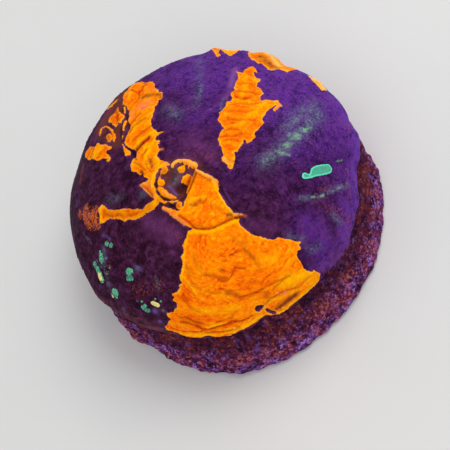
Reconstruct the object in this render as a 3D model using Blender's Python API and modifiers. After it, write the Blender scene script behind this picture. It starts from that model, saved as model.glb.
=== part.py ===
# Scolymia coral: a domed fleshy polyp with a coiled mouth, grown on its round stony skeleton.
# The skeleton is cut off flat and rests on the cut. +Z is up, and the origin is at the middle
# of the cut. Lengths below are in millimetres and angles in degrees, and the finished meshes
# are in metres.

import math

import bmesh
import bpy
import numpy as np
from mathutils import Vector, noise

MM = 0.001

# Whole coral: the polyp leans away from the middle of the foot
FOOT_CENTRE = (-0.34, -1.3)
LEAN = (1.5, 3.0)
SEAM_GAP = 0.3

# Polyp: a quarter ellipse from the top to the widest level, and a rounded lip under it
DOME_RADIUS = 37.6
DOME_TOP = 36.7
WIDEST_LEVEL = 16.0
LIP_ROUNDING = 1.5
POLYP_STEPS = 96
FINE_REACH = 20.0
FINE_SPACING = 1.25
COARSE_SPACING = 1.6
LIP_SEGMENTS = 4

# Lobes of the polyp's edge: direction, how far each stands out, and half width
EDGE_LOBES = [
    (13.0, -0.6, 5.0),
    (25.0, 0.5, 5.0),
    (36.0, -0.7, 5.0),
    (50.0, -0.2, 6.0),
    (92.0, 0.6, 8.0),
    (125.0, -0.5, 8.0),
    (182.0, 0.7, 7.0),
    (214.0, -0.5, 8.0),
    (252.0, -1.4, 5.0),
    (273.0, -0.4, 8.0),
    (290.5, 1.1, 6.5),
    (319.0, -1.1, 6.5),
    (334.0, 1.0, 5.5),
    (349.0, 0.7, 5.0),
]
LOBE_START = 28.0
LOBE_FADE = 5.0

# Places on the dome are given on a flat map of it: millimetres along the surface from the top,
# +X and +Y as on the coral.

# Mouth: a coiled ring round a hollow with folds in it
MOUTH_CENTRE = (-3.6, -0.6)
MOUTH_RING_RADIUS = 5.5
MOUTH_RING_HEIGHT = 0.9
MOUTH_RING_WIDTH = 1.3
MOUTH_HOLLOW_RADIUS = 3.4
MOUTH_HOLLOW_EDGE = 0.9
MOUTH_DEPTH = 1.9
MOUTH_FOLDS = [
    ((-5.2, 0.6), 1.2, 1.3),
    ((-1.9, -1.6), 1.4, 1.5),
    ((-3.9, -3.4), 0.9, 1.2),
]

# Young plate: the raised segment that runs from the mouth down to the fan
YOUNG_PLATE = [
    (1.8, -2.0),
    (3.3, -6.3),
    (3.0, -8.6),
    (1.8, -15.0),
    (2.7, -19.1),
    (-2.9, -16.3),
    (-6.1, -14.5),
    (-8.2, -12.1),
    (-8.5, -7.6),
    (-8.9, -3.8),
]
PLATE_HEIGHT = 0.5
PLATE_RIM_HEIGHT = 0.35
PLATE_RIM_WIDTH = 1.3
PLATE_EDGE_WIDTH = 0.8

# Terraces: steps parallel to the edge, each with its sector, reach from the top and height
TERRACES = [
    ((212.0, 262.0), 38.5, 1.0),
    ((214.0, 250.0), 42.5, 1.0),
    ((258.0, 284.0), 40.5, 0.9),
    ((150.0, 200.0), 33.0, 0.8),
    ((155.0, 212.0), 38.0, 0.9),
    ((160.0, 208.0), 42.0, 0.8),
    ((6.0, 48.0), 34.0, 1.1),
    ((60.0, 118.0), 37.5, 0.9),
]
TERRACE_STEEPNESS = 0.6
TERRACE_FADE = 4.0
TERRACE_RUN = 2.6

# Notch in the lower edge of the fan
NOTCH_PLACES = [((-11.8, -38.6), 1.5), ((-9.6, -42.0), 1.6)]
NOTCH_DEPTH = 0.8

# Lumps: places, height and half width
LUMPS = [
    ((-8.7, 24.5), 1.1, 2.0),
    ((-4.0, 28.6), 1.0, 2.4),
    ((-4.3, 23.1), 0.7, 1.8),
    ((3.2, 33.2), 1.0, 2.8),
    ((1.3, 29.8), 0.8, 2.2),
    ((6.6, 27.0), 0.7, 2.6),
    ((1.4, 23.5), 0.7, 2.6),
    ((-3.2, 18.4), 0.7, 2.4),
    ((-4.8, 11.0), 0.8, 1.9),
    ((-9.2, 6.2), 0.7, 1.9),
    ((-13.3, 24.8), 0.8, 2.6),
    ((-15.8, 28.2), 0.7, 2.2),
    ((27.6, 29.4), 1.3, 2.4),
    ((33.0, 22.5), 1.1, 2.8),
    ((36.6, 11.0), 0.3, 2.6),
    ((42.0, -0.5), 0.7, 2.4),
    ((-31.0, 13.0), 0.7, 2.8),
    ((-25.6, 12.8), 0.6, 2.4),
    ((25.2, -24.3), 0.7, 2.0),
]
CURL_CENTRE = (-8.9, 25.2)
CURL_RADIUS = 4.0
CURL_HEIGHT = 1.0
CURL_WIDTH = 1.2
CURL_FADE = 1.5

# Low ribs that spread from the mouth over one side
RIB_SECTOR = (282.0, 352.0)
RIB_SPACING = 9.0
RIB_HEIGHT = 0.3
RIB_START = 14.0
RIB_FADE = 8.0

# Skeleton: the wall's radius at each level, from the top edge down to the cut, and the foot's
# lobes: direction, how far each stands out, and half width
SKELETON_TOP = WIDEST_LEVEL - LIP_ROUNDING - SEAM_GAP
WALL = [
    (34.8, SKELETON_TOP),
    (36.2, 13.6),
    (36.8, 12.2),
    (37.1, 10.6),
    (37.5, 9.0),
    (37.9, 7.3),
    (38.3, 5.6),
    (38.7, 3.9),
    (38.9, 2.2),
    (38.8, 0.9),
    (38.0, 0.0),
]
FOOT_LOBES = [
    (198.0, -1.2, 8.0),
    (232.0, 0.6, 12.0),
    (267.0, -0.3, 10.0),
    (346.0, -0.8, 11.0),
]
SKELETON_STEPS = 96
CRUST_HEIGHT = 0.9
CRUST_SIZE = 5.0
CRUST_KNOB_HEIGHT = 1.1
CRUST_KNOB_SIZE = 2.4
CRUST_KNOB_MIDDLE = 0.25
CRUST_KNOB_SHIFT = Vector((7.0, 3.0, 5.0))
CRUST_FADE = 1.6
CRUST_AT_ENDS = 0.15

# Finishes: colour and roughness
FLESH_COLOUR = (0.24, 0.03, 0.20, 1.0)
FLESH_ROUGHNESS = 0.6
STONE_COLOUR = (0.10, 0.04, 0.08, 1.0)
STONE_ROUGHNESS = 0.9

SMOOTH_ANGLE = 50.0
MERGE_DISTANCE = 0.00001


def clear_scene():
    for item in list(bpy.data.objects):
        bpy.data.objects.remove(item, do_unlink=True)


def make_material(name, colour, roughness):
    material = bpy.data.materials.new(name)
    material.use_nodes = True
    shader = material.node_tree.nodes["Principled BSDF"]
    shader.inputs["Base Color"].default_value = colour
    shader.inputs["Roughness"].default_value = roughness
    shader.inputs["Metallic"].default_value = 0.0
    material.diffuse_color = colour
    return material


# A closed turned body in millimetres, from a profile that runs down its outer side. A profile
# that starts or ends off the axis is closed there with one flat face.
def turned_body(name, profile, steps, collection):
    outline = bpy.data.meshes.new(name + "_profile")
    points = [(radius, 0.0, height) for radius, height in profile]
    edges = [(i, i + 1) for i in range(len(points) - 1)]
    outline.from_pydata(points, edges, [])
    turning = bpy.data.objects.new(name + "_profile", outline)
    collection.objects.link(turning)
    screw = turning.modifiers.new("Turn", "SCREW")
    screw.axis = "Z"
    screw.steps = steps
    screw.render_steps = steps
    screw.use_merge_vertices = True
    screw.merge_threshold = MERGE_DISTANCE
    bpy.context.view_layer.update()
    finished = turning.evaluated_get(bpy.context.evaluated_depsgraph_get())
    shape = bpy.data.meshes.new_from_object(finished)
    bpy.data.objects.remove(turning, do_unlink=True)

    body = bmesh.new()
    body.from_mesh(shape)
    bmesh.ops.remove_doubles(body, verts=body.verts, dist=MERGE_DISTANCE)
    bmesh.ops.holes_fill(body, edges=[edge for edge in body.edges if edge.is_boundary], sides=0)
    bmesh.ops.recalc_face_normals(body, faces=body.faces)
    body.to_mesh(shape)
    body.free()
    shape.name = name
    piece = bpy.data.objects.new(name, shape)
    collection.objects.link(piece)
    return piece


def vertex_array(mesh):
    flat = np.empty(len(mesh.vertices) * 3)
    mesh.vertices.foreach_get("co", flat)
    return flat.reshape(-1, 3)


# Stores the shaped points, in metres, and smooths the shading of the round parts.
def finish_piece(piece, points, material):
    mesh = piece.data
    mesh.vertices.foreach_set("co", (points * MM).astype(np.float32).ravel())
    mesh.update()
    mesh.shade_smooth()
    mesh.set_sharp_from_angle(angle=math.radians(SMOOTH_ANGLE))
    mesh.materials.clear()
    mesh.materials.append(material)


def ridge(distance, width):
    return np.exp(-(distance / width) ** 2)


def rise(value, edge, width):
    return 0.5 + 0.5 * np.tanh((value - edge) / width)


def angle_from(azimuth, middle):
    return (azimuth - middle + 180.0) % 360.0 - 180.0


def within_sector(azimuth, sector, fade):
    half = 0.5 * (sector[1] - sector[0])
    off = np.abs(angle_from(azimuth, sector[0] + half))
    return 1.0 - rise(off, half, fade)


# Distance to a closed outline on the map, negative inside it.
def outline_distance(x, y, outline):
    nearest = np.full(x.shape, 1e9)
    inside = np.zeros(x.shape, dtype=bool)
    for (x1, y1), (x2, y2) in zip(outline, outline[1:] + outline[:1]):
        along_x, along_y = x2 - x1, y2 - y1
        share = ((x - x1) * along_x + (y - y1) * along_y) / (along_x ** 2 + along_y ** 2)
        share = np.clip(share, 0.0, 1.0)
        nearest = np.minimum(nearest, np.hypot(x - x1 - share * along_x, y - y1 - share * along_y))
        if y1 != y2:
            crosses = (y1 > y) != (y2 > y)
            inside ^= crosses & (x < x1 + (y - y1) * along_x / along_y)
    return np.where(inside, -nearest, nearest)


# Distance along the surface from the top, for each angle on the quarter ellipse.
def arc_table():
    angles = np.linspace(0.0, math.pi / 2, 400)
    across = DOME_RADIUS * np.sin(angles)
    height = (DOME_TOP - WIDEST_LEVEL) * np.cos(angles)
    arcs = np.concatenate([[0.0], np.cumsum(np.hypot(np.diff(across), np.diff(height)))])
    return angles, arcs


def polyp_profile():
    angles, arcs = arc_table()
    fine = np.arange(0.0, FINE_REACH, FINE_SPACING)
    rows = max(1, round((arcs[-1] - FINE_REACH) / COARSE_SPACING))
    coarse = np.linspace(FINE_REACH, arcs[-1], rows + 1)
    profile = []
    for arc in np.concatenate([fine, coarse]):
        angle = np.interp(arc, arcs, angles)
        height = WIDEST_LEVEL + (DOME_TOP - WIDEST_LEVEL) * math.cos(angle)
        profile.append((DOME_RADIUS * math.sin(angle), height))
    for segment in range(1, LIP_SEGMENTS + 1):
        turn = math.radians(90.0 * segment / LIP_SEGMENTS)
        across = DOME_RADIUS - LIP_ROUNDING * (1.0 - math.cos(turn))
        profile.append((across, WIDEST_LEVEL - LIP_ROUNDING * math.sin(turn)))
    return profile


def mouth_relief(x, y):
    reach = np.hypot(x - MOUTH_CENTRE[0], y - MOUTH_CENTRE[1])
    relief = MOUTH_RING_HEIGHT * ridge(reach - MOUTH_RING_RADIUS, MOUTH_RING_WIDTH)
    relief -= MOUTH_DEPTH * (1.0 - rise(reach, MOUTH_HOLLOW_RADIUS, MOUTH_HOLLOW_EDGE))
    for (fold_x, fold_y), height, width in MOUTH_FOLDS:
        relief += height * ridge(np.hypot(x - fold_x, y - fold_y), width)
    return relief


def plate_relief(x, y):
    off = outline_distance(x, y, YOUNG_PLATE)
    from_mouth = np.hypot(x - MOUTH_CENTRE[0], y - MOUTH_CENTRE[1])
    outside_mouth = rise(from_mouth, MOUTH_RING_RADIUS, PLATE_EDGE_WIDTH)
    plate = PLATE_HEIGHT * (1.0 - rise(off, 0.0, PLATE_EDGE_WIDTH))
    rim = PLATE_RIM_HEIGHT * ridge(off + PLATE_RIM_WIDTH, PLATE_RIM_WIDTH)
    return (plate + rim) * outside_mouth


# Each terrace rises towards its edge and drops over it.
def terrace_relief(azimuth, arc):
    relief = np.zeros(arc.shape)
    for sector, reach, height in TERRACES:
        tread = np.exp(np.minimum(arc - reach, 0.0) / TERRACE_RUN)
        drop = 1.0 - rise(arc, reach, TERRACE_STEEPNESS)
        relief += height * tread * drop * within_sector(azimuth, sector, TERRACE_FADE)
    return relief


def lump_relief(x, y):
    relief = np.zeros(x.shape)
    for (lump_x, lump_y), height, width in LUMPS:
        relief += height * ridge(np.hypot(x - lump_x, y - lump_y), width)
    for (notch_x, notch_y), width in NOTCH_PLACES:
        relief -= NOTCH_DEPTH * ridge(np.hypot(x - notch_x, y - notch_y), width)
    curl = np.hypot(x - CURL_CENTRE[0], y - CURL_CENTRE[1])
    upper_side = rise(y, CURL_CENTRE[1], CURL_FADE)
    return relief + CURL_HEIGHT * ridge(curl - CURL_RADIUS, CURL_WIDTH) * upper_side


def rib_relief(azimuth, arc):
    wave = np.cos(2.0 * math.pi * angle_from(azimuth, RIB_SECTOR[0]) / RIB_SPACING)
    spread = rise(arc, RIB_START, RIB_FADE * 0.5)
    return RIB_HEIGHT * wave * spread * within_sector(azimuth, RIB_SECTOR, RIB_FADE)


def lobes(azimuth, places):
    reach = np.zeros(azimuth.shape)
    for direction, stand_out, width in places:
        reach += stand_out * ridge(angle_from(azimuth, direction), width)
    return reach


# The relief stands square to the dome and fades out round the lip, whose underside stays flat.
def shape_polyp(points):
    radius = np.hypot(points[:, 0], points[:, 1])
    azimuth = np.degrees(np.arctan2(points[:, 1], points[:, 0]))
    rise_height = DOME_TOP - WIDEST_LEVEL
    angle = np.arctan2(radius / DOME_RADIUS, np.maximum(points[:, 2] - WIDEST_LEVEL, 0.0) / rise_height)
    angles, arcs = arc_table()
    arc = np.interp(angle, angles, arcs)
    x = arc * np.cos(np.radians(azimuth))
    y = arc * np.sin(np.radians(azimuth))
    relief = mouth_relief(x, y) + plate_relief(x, y) + terrace_relief(azimuth, arc)
    relief += lump_relief(x, y) + rib_relief(azimuth, arc)

    lip_bottom = WIDEST_LEVEL - LIP_ROUNDING
    clear_of_lip = np.clip((points[:, 2] - lip_bottom) / LIP_ROUNDING, 0.0, 1.0)
    relief *= clear_of_lip
    across = np.sin(angle) / DOME_RADIUS
    along = np.cos(angle) / rise_height
    length = np.hypot(across, along)
    edge = lobes(azimuth, EDGE_LOBES) * rise(radius, LOBE_START, LOBE_FADE)
    reach = radius + edge + relief * across / length
    lean = (radius / DOME_RADIUS) ** 2
    shaped = np.empty(points.shape)
    shaped[:, 0] = reach * np.cos(np.radians(azimuth)) + LEAN[0] * lean + FOOT_CENTRE[0]
    shaped[:, 1] = reach * np.sin(np.radians(azimuth)) + LEAN[1] * lean + FOOT_CENTRE[1]
    shaped[:, 2] = points[:, 2] + relief * along / length
    return shaped


def build_polyp(collection):
    piece = turned_body("polyp", polyp_profile(), POLYP_STEPS, collection)
    points = shape_polyp(vertex_array(piece.data))
    finish_piece(piece, points, make_material("fluorescent_flesh", FLESH_COLOUR, FLESH_ROUGHNESS))


# Knobs and hollows of the crust: a broad wave and closer, sharper knobs.
def crust_relief(points):
    relief = np.empty(len(points))
    for i, point in enumerate(points):
        place = Vector(point)
        broad = noise.noise(place / CRUST_SIZE)
        knob = abs(noise.noise(place / CRUST_KNOB_SIZE + CRUST_KNOB_SHIFT))
        relief[i] = CRUST_HEIGHT * broad + CRUST_KNOB_HEIGHT * (knob - CRUST_KNOB_MIDDLE)
    return relief


# The wall leans with the polyp, and the top and the cut stay flat.
def shape_skeleton(points):
    top, bottom = WALL[0][1], WALL[-1][1]
    radius = np.hypot(points[:, 0], points[:, 1])
    azimuth = np.arctan2(points[:, 1], points[:, 0])
    level = points[:, 2]
    share = (level - bottom) / (top - bottom)
    off_ends = np.clip(np.minimum(level - bottom, top - level) / CRUST_FADE, CRUST_AT_ENDS, 1.0)
    under_lip = lobes(np.degrees(azimuth), EDGE_LOBES) * share ** 2
    foot = lobes(np.degrees(azimuth), FOOT_LOBES) * (1.0 - share ** 2)
    reach = radius + crust_relief(points) * off_ends + under_lip + foot
    shaped = np.empty(points.shape)
    shaped[:, 0] = reach * np.cos(azimuth) + LEAN[0] * share + FOOT_CENTRE[0]
    shaped[:, 1] = reach * np.sin(azimuth) + LEAN[1] * share + FOOT_CENTRE[1]
    shaped[:, 2] = level
    return shaped


def build_skeleton(collection):
    piece = turned_body("skeleton", WALL, SKELETON_STEPS, collection)
    points = shape_skeleton(vertex_array(piece.data))
    finish_piece(piece, points, make_material("crusted_stone", STONE_COLOUR, STONE_ROUGHNESS))


def main():
    clear_scene()
    collection = bpy.data.collections.new("scolymia_coral")
    bpy.context.scene.collection.children.link(collection)
    build_polyp(collection)
    build_skeleton(collection)


main()
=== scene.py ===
import math

import bmesh
import bpy
import numpy as np
from mathutils import Matrix, Vector, noise


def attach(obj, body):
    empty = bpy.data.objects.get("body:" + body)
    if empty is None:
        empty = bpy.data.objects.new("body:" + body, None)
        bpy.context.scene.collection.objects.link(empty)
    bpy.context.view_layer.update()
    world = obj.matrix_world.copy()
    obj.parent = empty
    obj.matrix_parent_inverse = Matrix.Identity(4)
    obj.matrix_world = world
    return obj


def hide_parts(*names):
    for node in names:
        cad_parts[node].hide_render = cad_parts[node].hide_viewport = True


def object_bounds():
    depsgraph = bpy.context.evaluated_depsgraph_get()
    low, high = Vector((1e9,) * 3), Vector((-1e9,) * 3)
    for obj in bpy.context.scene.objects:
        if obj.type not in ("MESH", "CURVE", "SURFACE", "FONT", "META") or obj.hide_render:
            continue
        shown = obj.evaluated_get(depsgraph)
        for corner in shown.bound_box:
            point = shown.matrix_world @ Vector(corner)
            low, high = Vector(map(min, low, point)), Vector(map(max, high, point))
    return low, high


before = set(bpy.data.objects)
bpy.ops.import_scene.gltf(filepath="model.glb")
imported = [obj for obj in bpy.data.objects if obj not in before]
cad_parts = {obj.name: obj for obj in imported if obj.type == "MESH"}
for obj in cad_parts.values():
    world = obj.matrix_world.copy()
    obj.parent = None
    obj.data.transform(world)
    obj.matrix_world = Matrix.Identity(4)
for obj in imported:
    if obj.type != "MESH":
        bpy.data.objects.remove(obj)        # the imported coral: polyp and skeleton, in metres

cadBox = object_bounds()
mm = 0.001

# The view of the reference photograph, and the pixels that its places are read in
photoView = {
    "lens": 120.0,
    "sensorWidth": 36.0,
    "frameSize": 450,
    "elevation": 60.0,
    "roll": 43.0,
    "distance": 364.78,         # mm, from the aim point
    "aimHeight": 20.0,          # mm above the cut
    "aimPixel": (210.23, 198.12),
    "searchFrom": -70.0,        # mm from the distance above, where a ray looks for the dome
    "searchTo": 60.0,
    "searchSteps": 300,
    "halvings": 20,
}

# The coral's main form in millimetres and degrees, as in the solids
coralForm = {
    "footCentre": (-0.34, -1.3),
    "lean": (1.5, 3.0),
    "domeRadius": 37.6,
    "domeTop": 36.7,
    "widestLevel": 16.0,
    "profileSteps": 400,
    "lipRounding": 1.5,
    "lobeStart": 28.0,
    "lobeFade": 5.0,
    "edgeLobes": [
        (13.0, -0.6, 5.0), (25.0, 0.5, 5.0), (36.0, -0.7, 5.0), (50.0, -0.2, 6.0), (92.0, 0.6, 8.0),
        (125.0, -0.5, 8.0), (182.0, 0.7, 7.0), (214.0, -0.5, 8.0), (252.0, -1.4, 5.0), (273.0, -0.4, 8.0),
        (290.5, 1.1, 6.5), (319.0, -1.1, 6.5), (334.0, 1.0, 5.5), (349.0, 0.7, 5.0),
    ],
}


def ridge(distance, width):
    return np.exp(-(distance / width) ** 2)


def rise(value, edge, width):
    return 0.5 + 0.5 * np.tanh((value - edge) / width)


def angleFrom(azimuth, middle):
    return (azimuth - middle + 180.0) % 360.0 - 180.0


def withinSector(azimuth, sector, fade):
    half = 0.5 * (sector[1] - sector[0])
    return 1.0 - rise(np.abs(angleFrom(azimuth, sector[0] + half)), half, fade)


def lobes(azimuth, places):
    reach = np.zeros(azimuth.shape)
    for direction, standOut, width in places:
        reach += standOut * ridge(angleFrom(azimuth, direction), width)
    return reach


def edgeLobes(azimuth, radius):
    return lobes(azimuth, coralForm["edgeLobes"]) * rise(radius, coralForm["lobeStart"], coralForm["lobeFade"])


domeRise = coralForm["domeTop"] - coralForm["widestLevel"]
domeAngles = np.linspace(0.0, math.pi / 2, coralForm["profileSteps"])
domeSteps = np.hypot(
    np.diff(coralForm["domeRadius"] * np.sin(domeAngles)), np.diff(domeRise * np.cos(domeAngles)))
domeArcs = np.concatenate([[0.0], np.cumsum(domeSteps)])
edgeArc = domeArcs[-1]      # mm along the surface from the top to the widest level


# Points about the leaning axis
def aroundAxis(reach, azimuth, lean, level):
    turned = np.cos(azimuth), np.sin(azimuth)
    sideways = [
        reach * part + shift * lean + foot
        for part, shift, foot in zip(turned, coralForm["lean"], coralForm["footCentre"])]
    return np.stack([*sideways, level], axis=-1)


# Places on the dome are kept on a flat map of it: mm along the surface from the top
def placeOnDome(u, v, relief, turn, inward):
    arc = np.minimum(np.hypot(u, v), edgeArc)
    azimuth = np.arctan2(v, u)
    angle = np.interp(arc, domeArcs, domeAngles)
    rounding = coralForm["lipRounding"]
    radius = coralForm["domeRadius"] * np.sin(angle)
    height = coralForm["widestLevel"] + domeRise * np.cos(angle)
    across, along = np.sin(angle) / coralForm["domeRadius"], np.cos(angle) / domeRise
    length = np.hypot(across, along)
    across, along = across / length, along / length
    onLip = turn > 0.0
    radius = np.where(onLip, radius - rounding * (1.0 - np.cos(turn)), radius)
    height = np.where(onLip, height - rounding * np.sin(turn), height)
    across = np.where(onLip, np.cos(turn), across)
    along = np.where(onLip, -np.sin(turn), along)
    reach = (radius + edgeLobes(np.degrees(azimuth), radius) + relief * across) * inward
    return aroundAxis(reach, azimuth, (radius / coralForm["domeRadius"]) ** 2, height + relief * along)


def viewAxes():
    tilt = math.radians(photoView["elevation"])
    back = np.array([0.0, -math.cos(tilt), math.sin(tilt)])
    right = np.array([1.0, 0.0, 0.0])
    aim = np.array([*coralForm["footCentre"], photoView["aimHeight"]])
    return back, right, np.cross(back, right), aim + back * photoView["distance"]


def pixelRays(pixels):
    back, right, up, eye = viewAxes()
    offset = np.asarray(pixels, dtype=float) - photoView["aimPixel"]
    turn = math.radians(photoView["roll"])
    u = math.cos(turn) * offset[:, 0] - math.sin(turn) * offset[:, 1]
    v = math.sin(turn) * offset[:, 0] + math.cos(turn) * offset[:, 1]
    scale = photoView["lens"] / photoView["sensorWidth"] * photoView["frameSize"]
    return eye, np.outer(u / scale, right) - np.outer(v / scale, up) - back


# How far outside the dome a point is, and its place on the map
def domeSide(points):
    level = np.clip((points[..., 2] - coralForm["widestLevel"]) / domeRise, 0.0, 1.0)
    lean = 1.0 - level ** 2
    x = points[..., 0] - coralForm["footCentre"][0] - coralForm["lean"][0] * lean
    y = points[..., 1] - coralForm["footCentre"][1] - coralForm["lean"][1] * lean
    azimuth = np.degrees(np.arctan2(y, x))
    radius = np.hypot(x, y)
    radius = radius - edgeLobes(azimuth, radius)
    side = (radius / coralForm["domeRadius"]) ** 2 - 1.0
    side = side + ((points[..., 2] - coralForm["widestLevel"]) / domeRise) ** 2
    arc = np.interp(np.arccos(level), domeAngles, domeArcs)
    return side, arc * np.cos(np.radians(azimuth)), arc * np.sin(np.radians(azimuth))


# Casts pixels of the photograph on the dome. One that passes it lands where it comes closest.
def castPixels(pixels):
    eye, rays = pixelRays(pixels)
    reach = np.linspace(photoView["searchFrom"], photoView["searchTo"], photoView["searchSteps"])
    reach = reach + photoView["distance"]
    side = domeSide(eye + rays[:, None, :] * reach[None, :, None])[0]
    inside = side < 0.0
    hit = inside.any(axis=1)
    first = np.where(hit, np.maximum(inside.argmax(axis=1), 1), side.argmin(axis=1))
    near, far = reach[np.maximum(first - 1, 0)], reach[first]
    for _ in range(photoView["halvings"]):
        middle = 0.5 * (near + far)
        within = domeSide(eye + rays * middle[:, None])[0] < 0.0
        near, far = np.where(within, near, middle), np.where(within, middle, far)
    return np.stack(domeSide(eye + rays * far[:, None])[1:], axis=-1)


# Cuts the corners of a line of points
def roundedLine(points, closed=False):
    if len(points) < 3:
        return points
    following = points[1:] + points[:1] if closed else points[1:]
    corners = [
        tuple(p + (q - p) * share for p, q in zip(start, end))
        for start, end in zip(points, following) for share in (0.25, 0.75)]
    return corners if closed else [points[0]] + corners[1:-1] + [points[-1]]


# Distance on the map to a line or, if it is closed, to an outline, negative inside
def distanceTo(u, v, line, reach, closed=False):
    low, high = line.min(axis=0) - reach, line.max(axis=0) + reach
    near = np.flatnonzero((u > low[0]) & (u < high[0]) & (v > low[1]) & (v < high[1]))
    result = np.full(u.shape, reach)
    x, y = u[near], v[near]
    nearest = np.full(x.shape, reach)
    inside = np.zeros(x.shape, dtype=bool)
    following = np.roll(line, -1, axis=0)
    count = len(line) if closed else max(len(line) - 1, 1)
    for start, end in zip(line[:count], following[:count]):
        along = end - start
        length = max(float(along @ along), 1e-9)
        share = np.clip(((x - start[0]) * along[0] + (y - start[1]) * along[1]) / length, 0.0, 1.0)
        gap = np.hypot(x - start[0] - share * along[0], y - start[1] - share * along[1])
        nearest = np.minimum(nearest, gap)
        if closed and start[1] != end[1]:
            crosses = (start[1] > y) != (end[1] > y)
            inside ^= crosses & (x < start[0] + (y - start[1]) * along[0] / along[1])
    result[near] = np.where(inside, -nearest, nearest)
    return result


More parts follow.
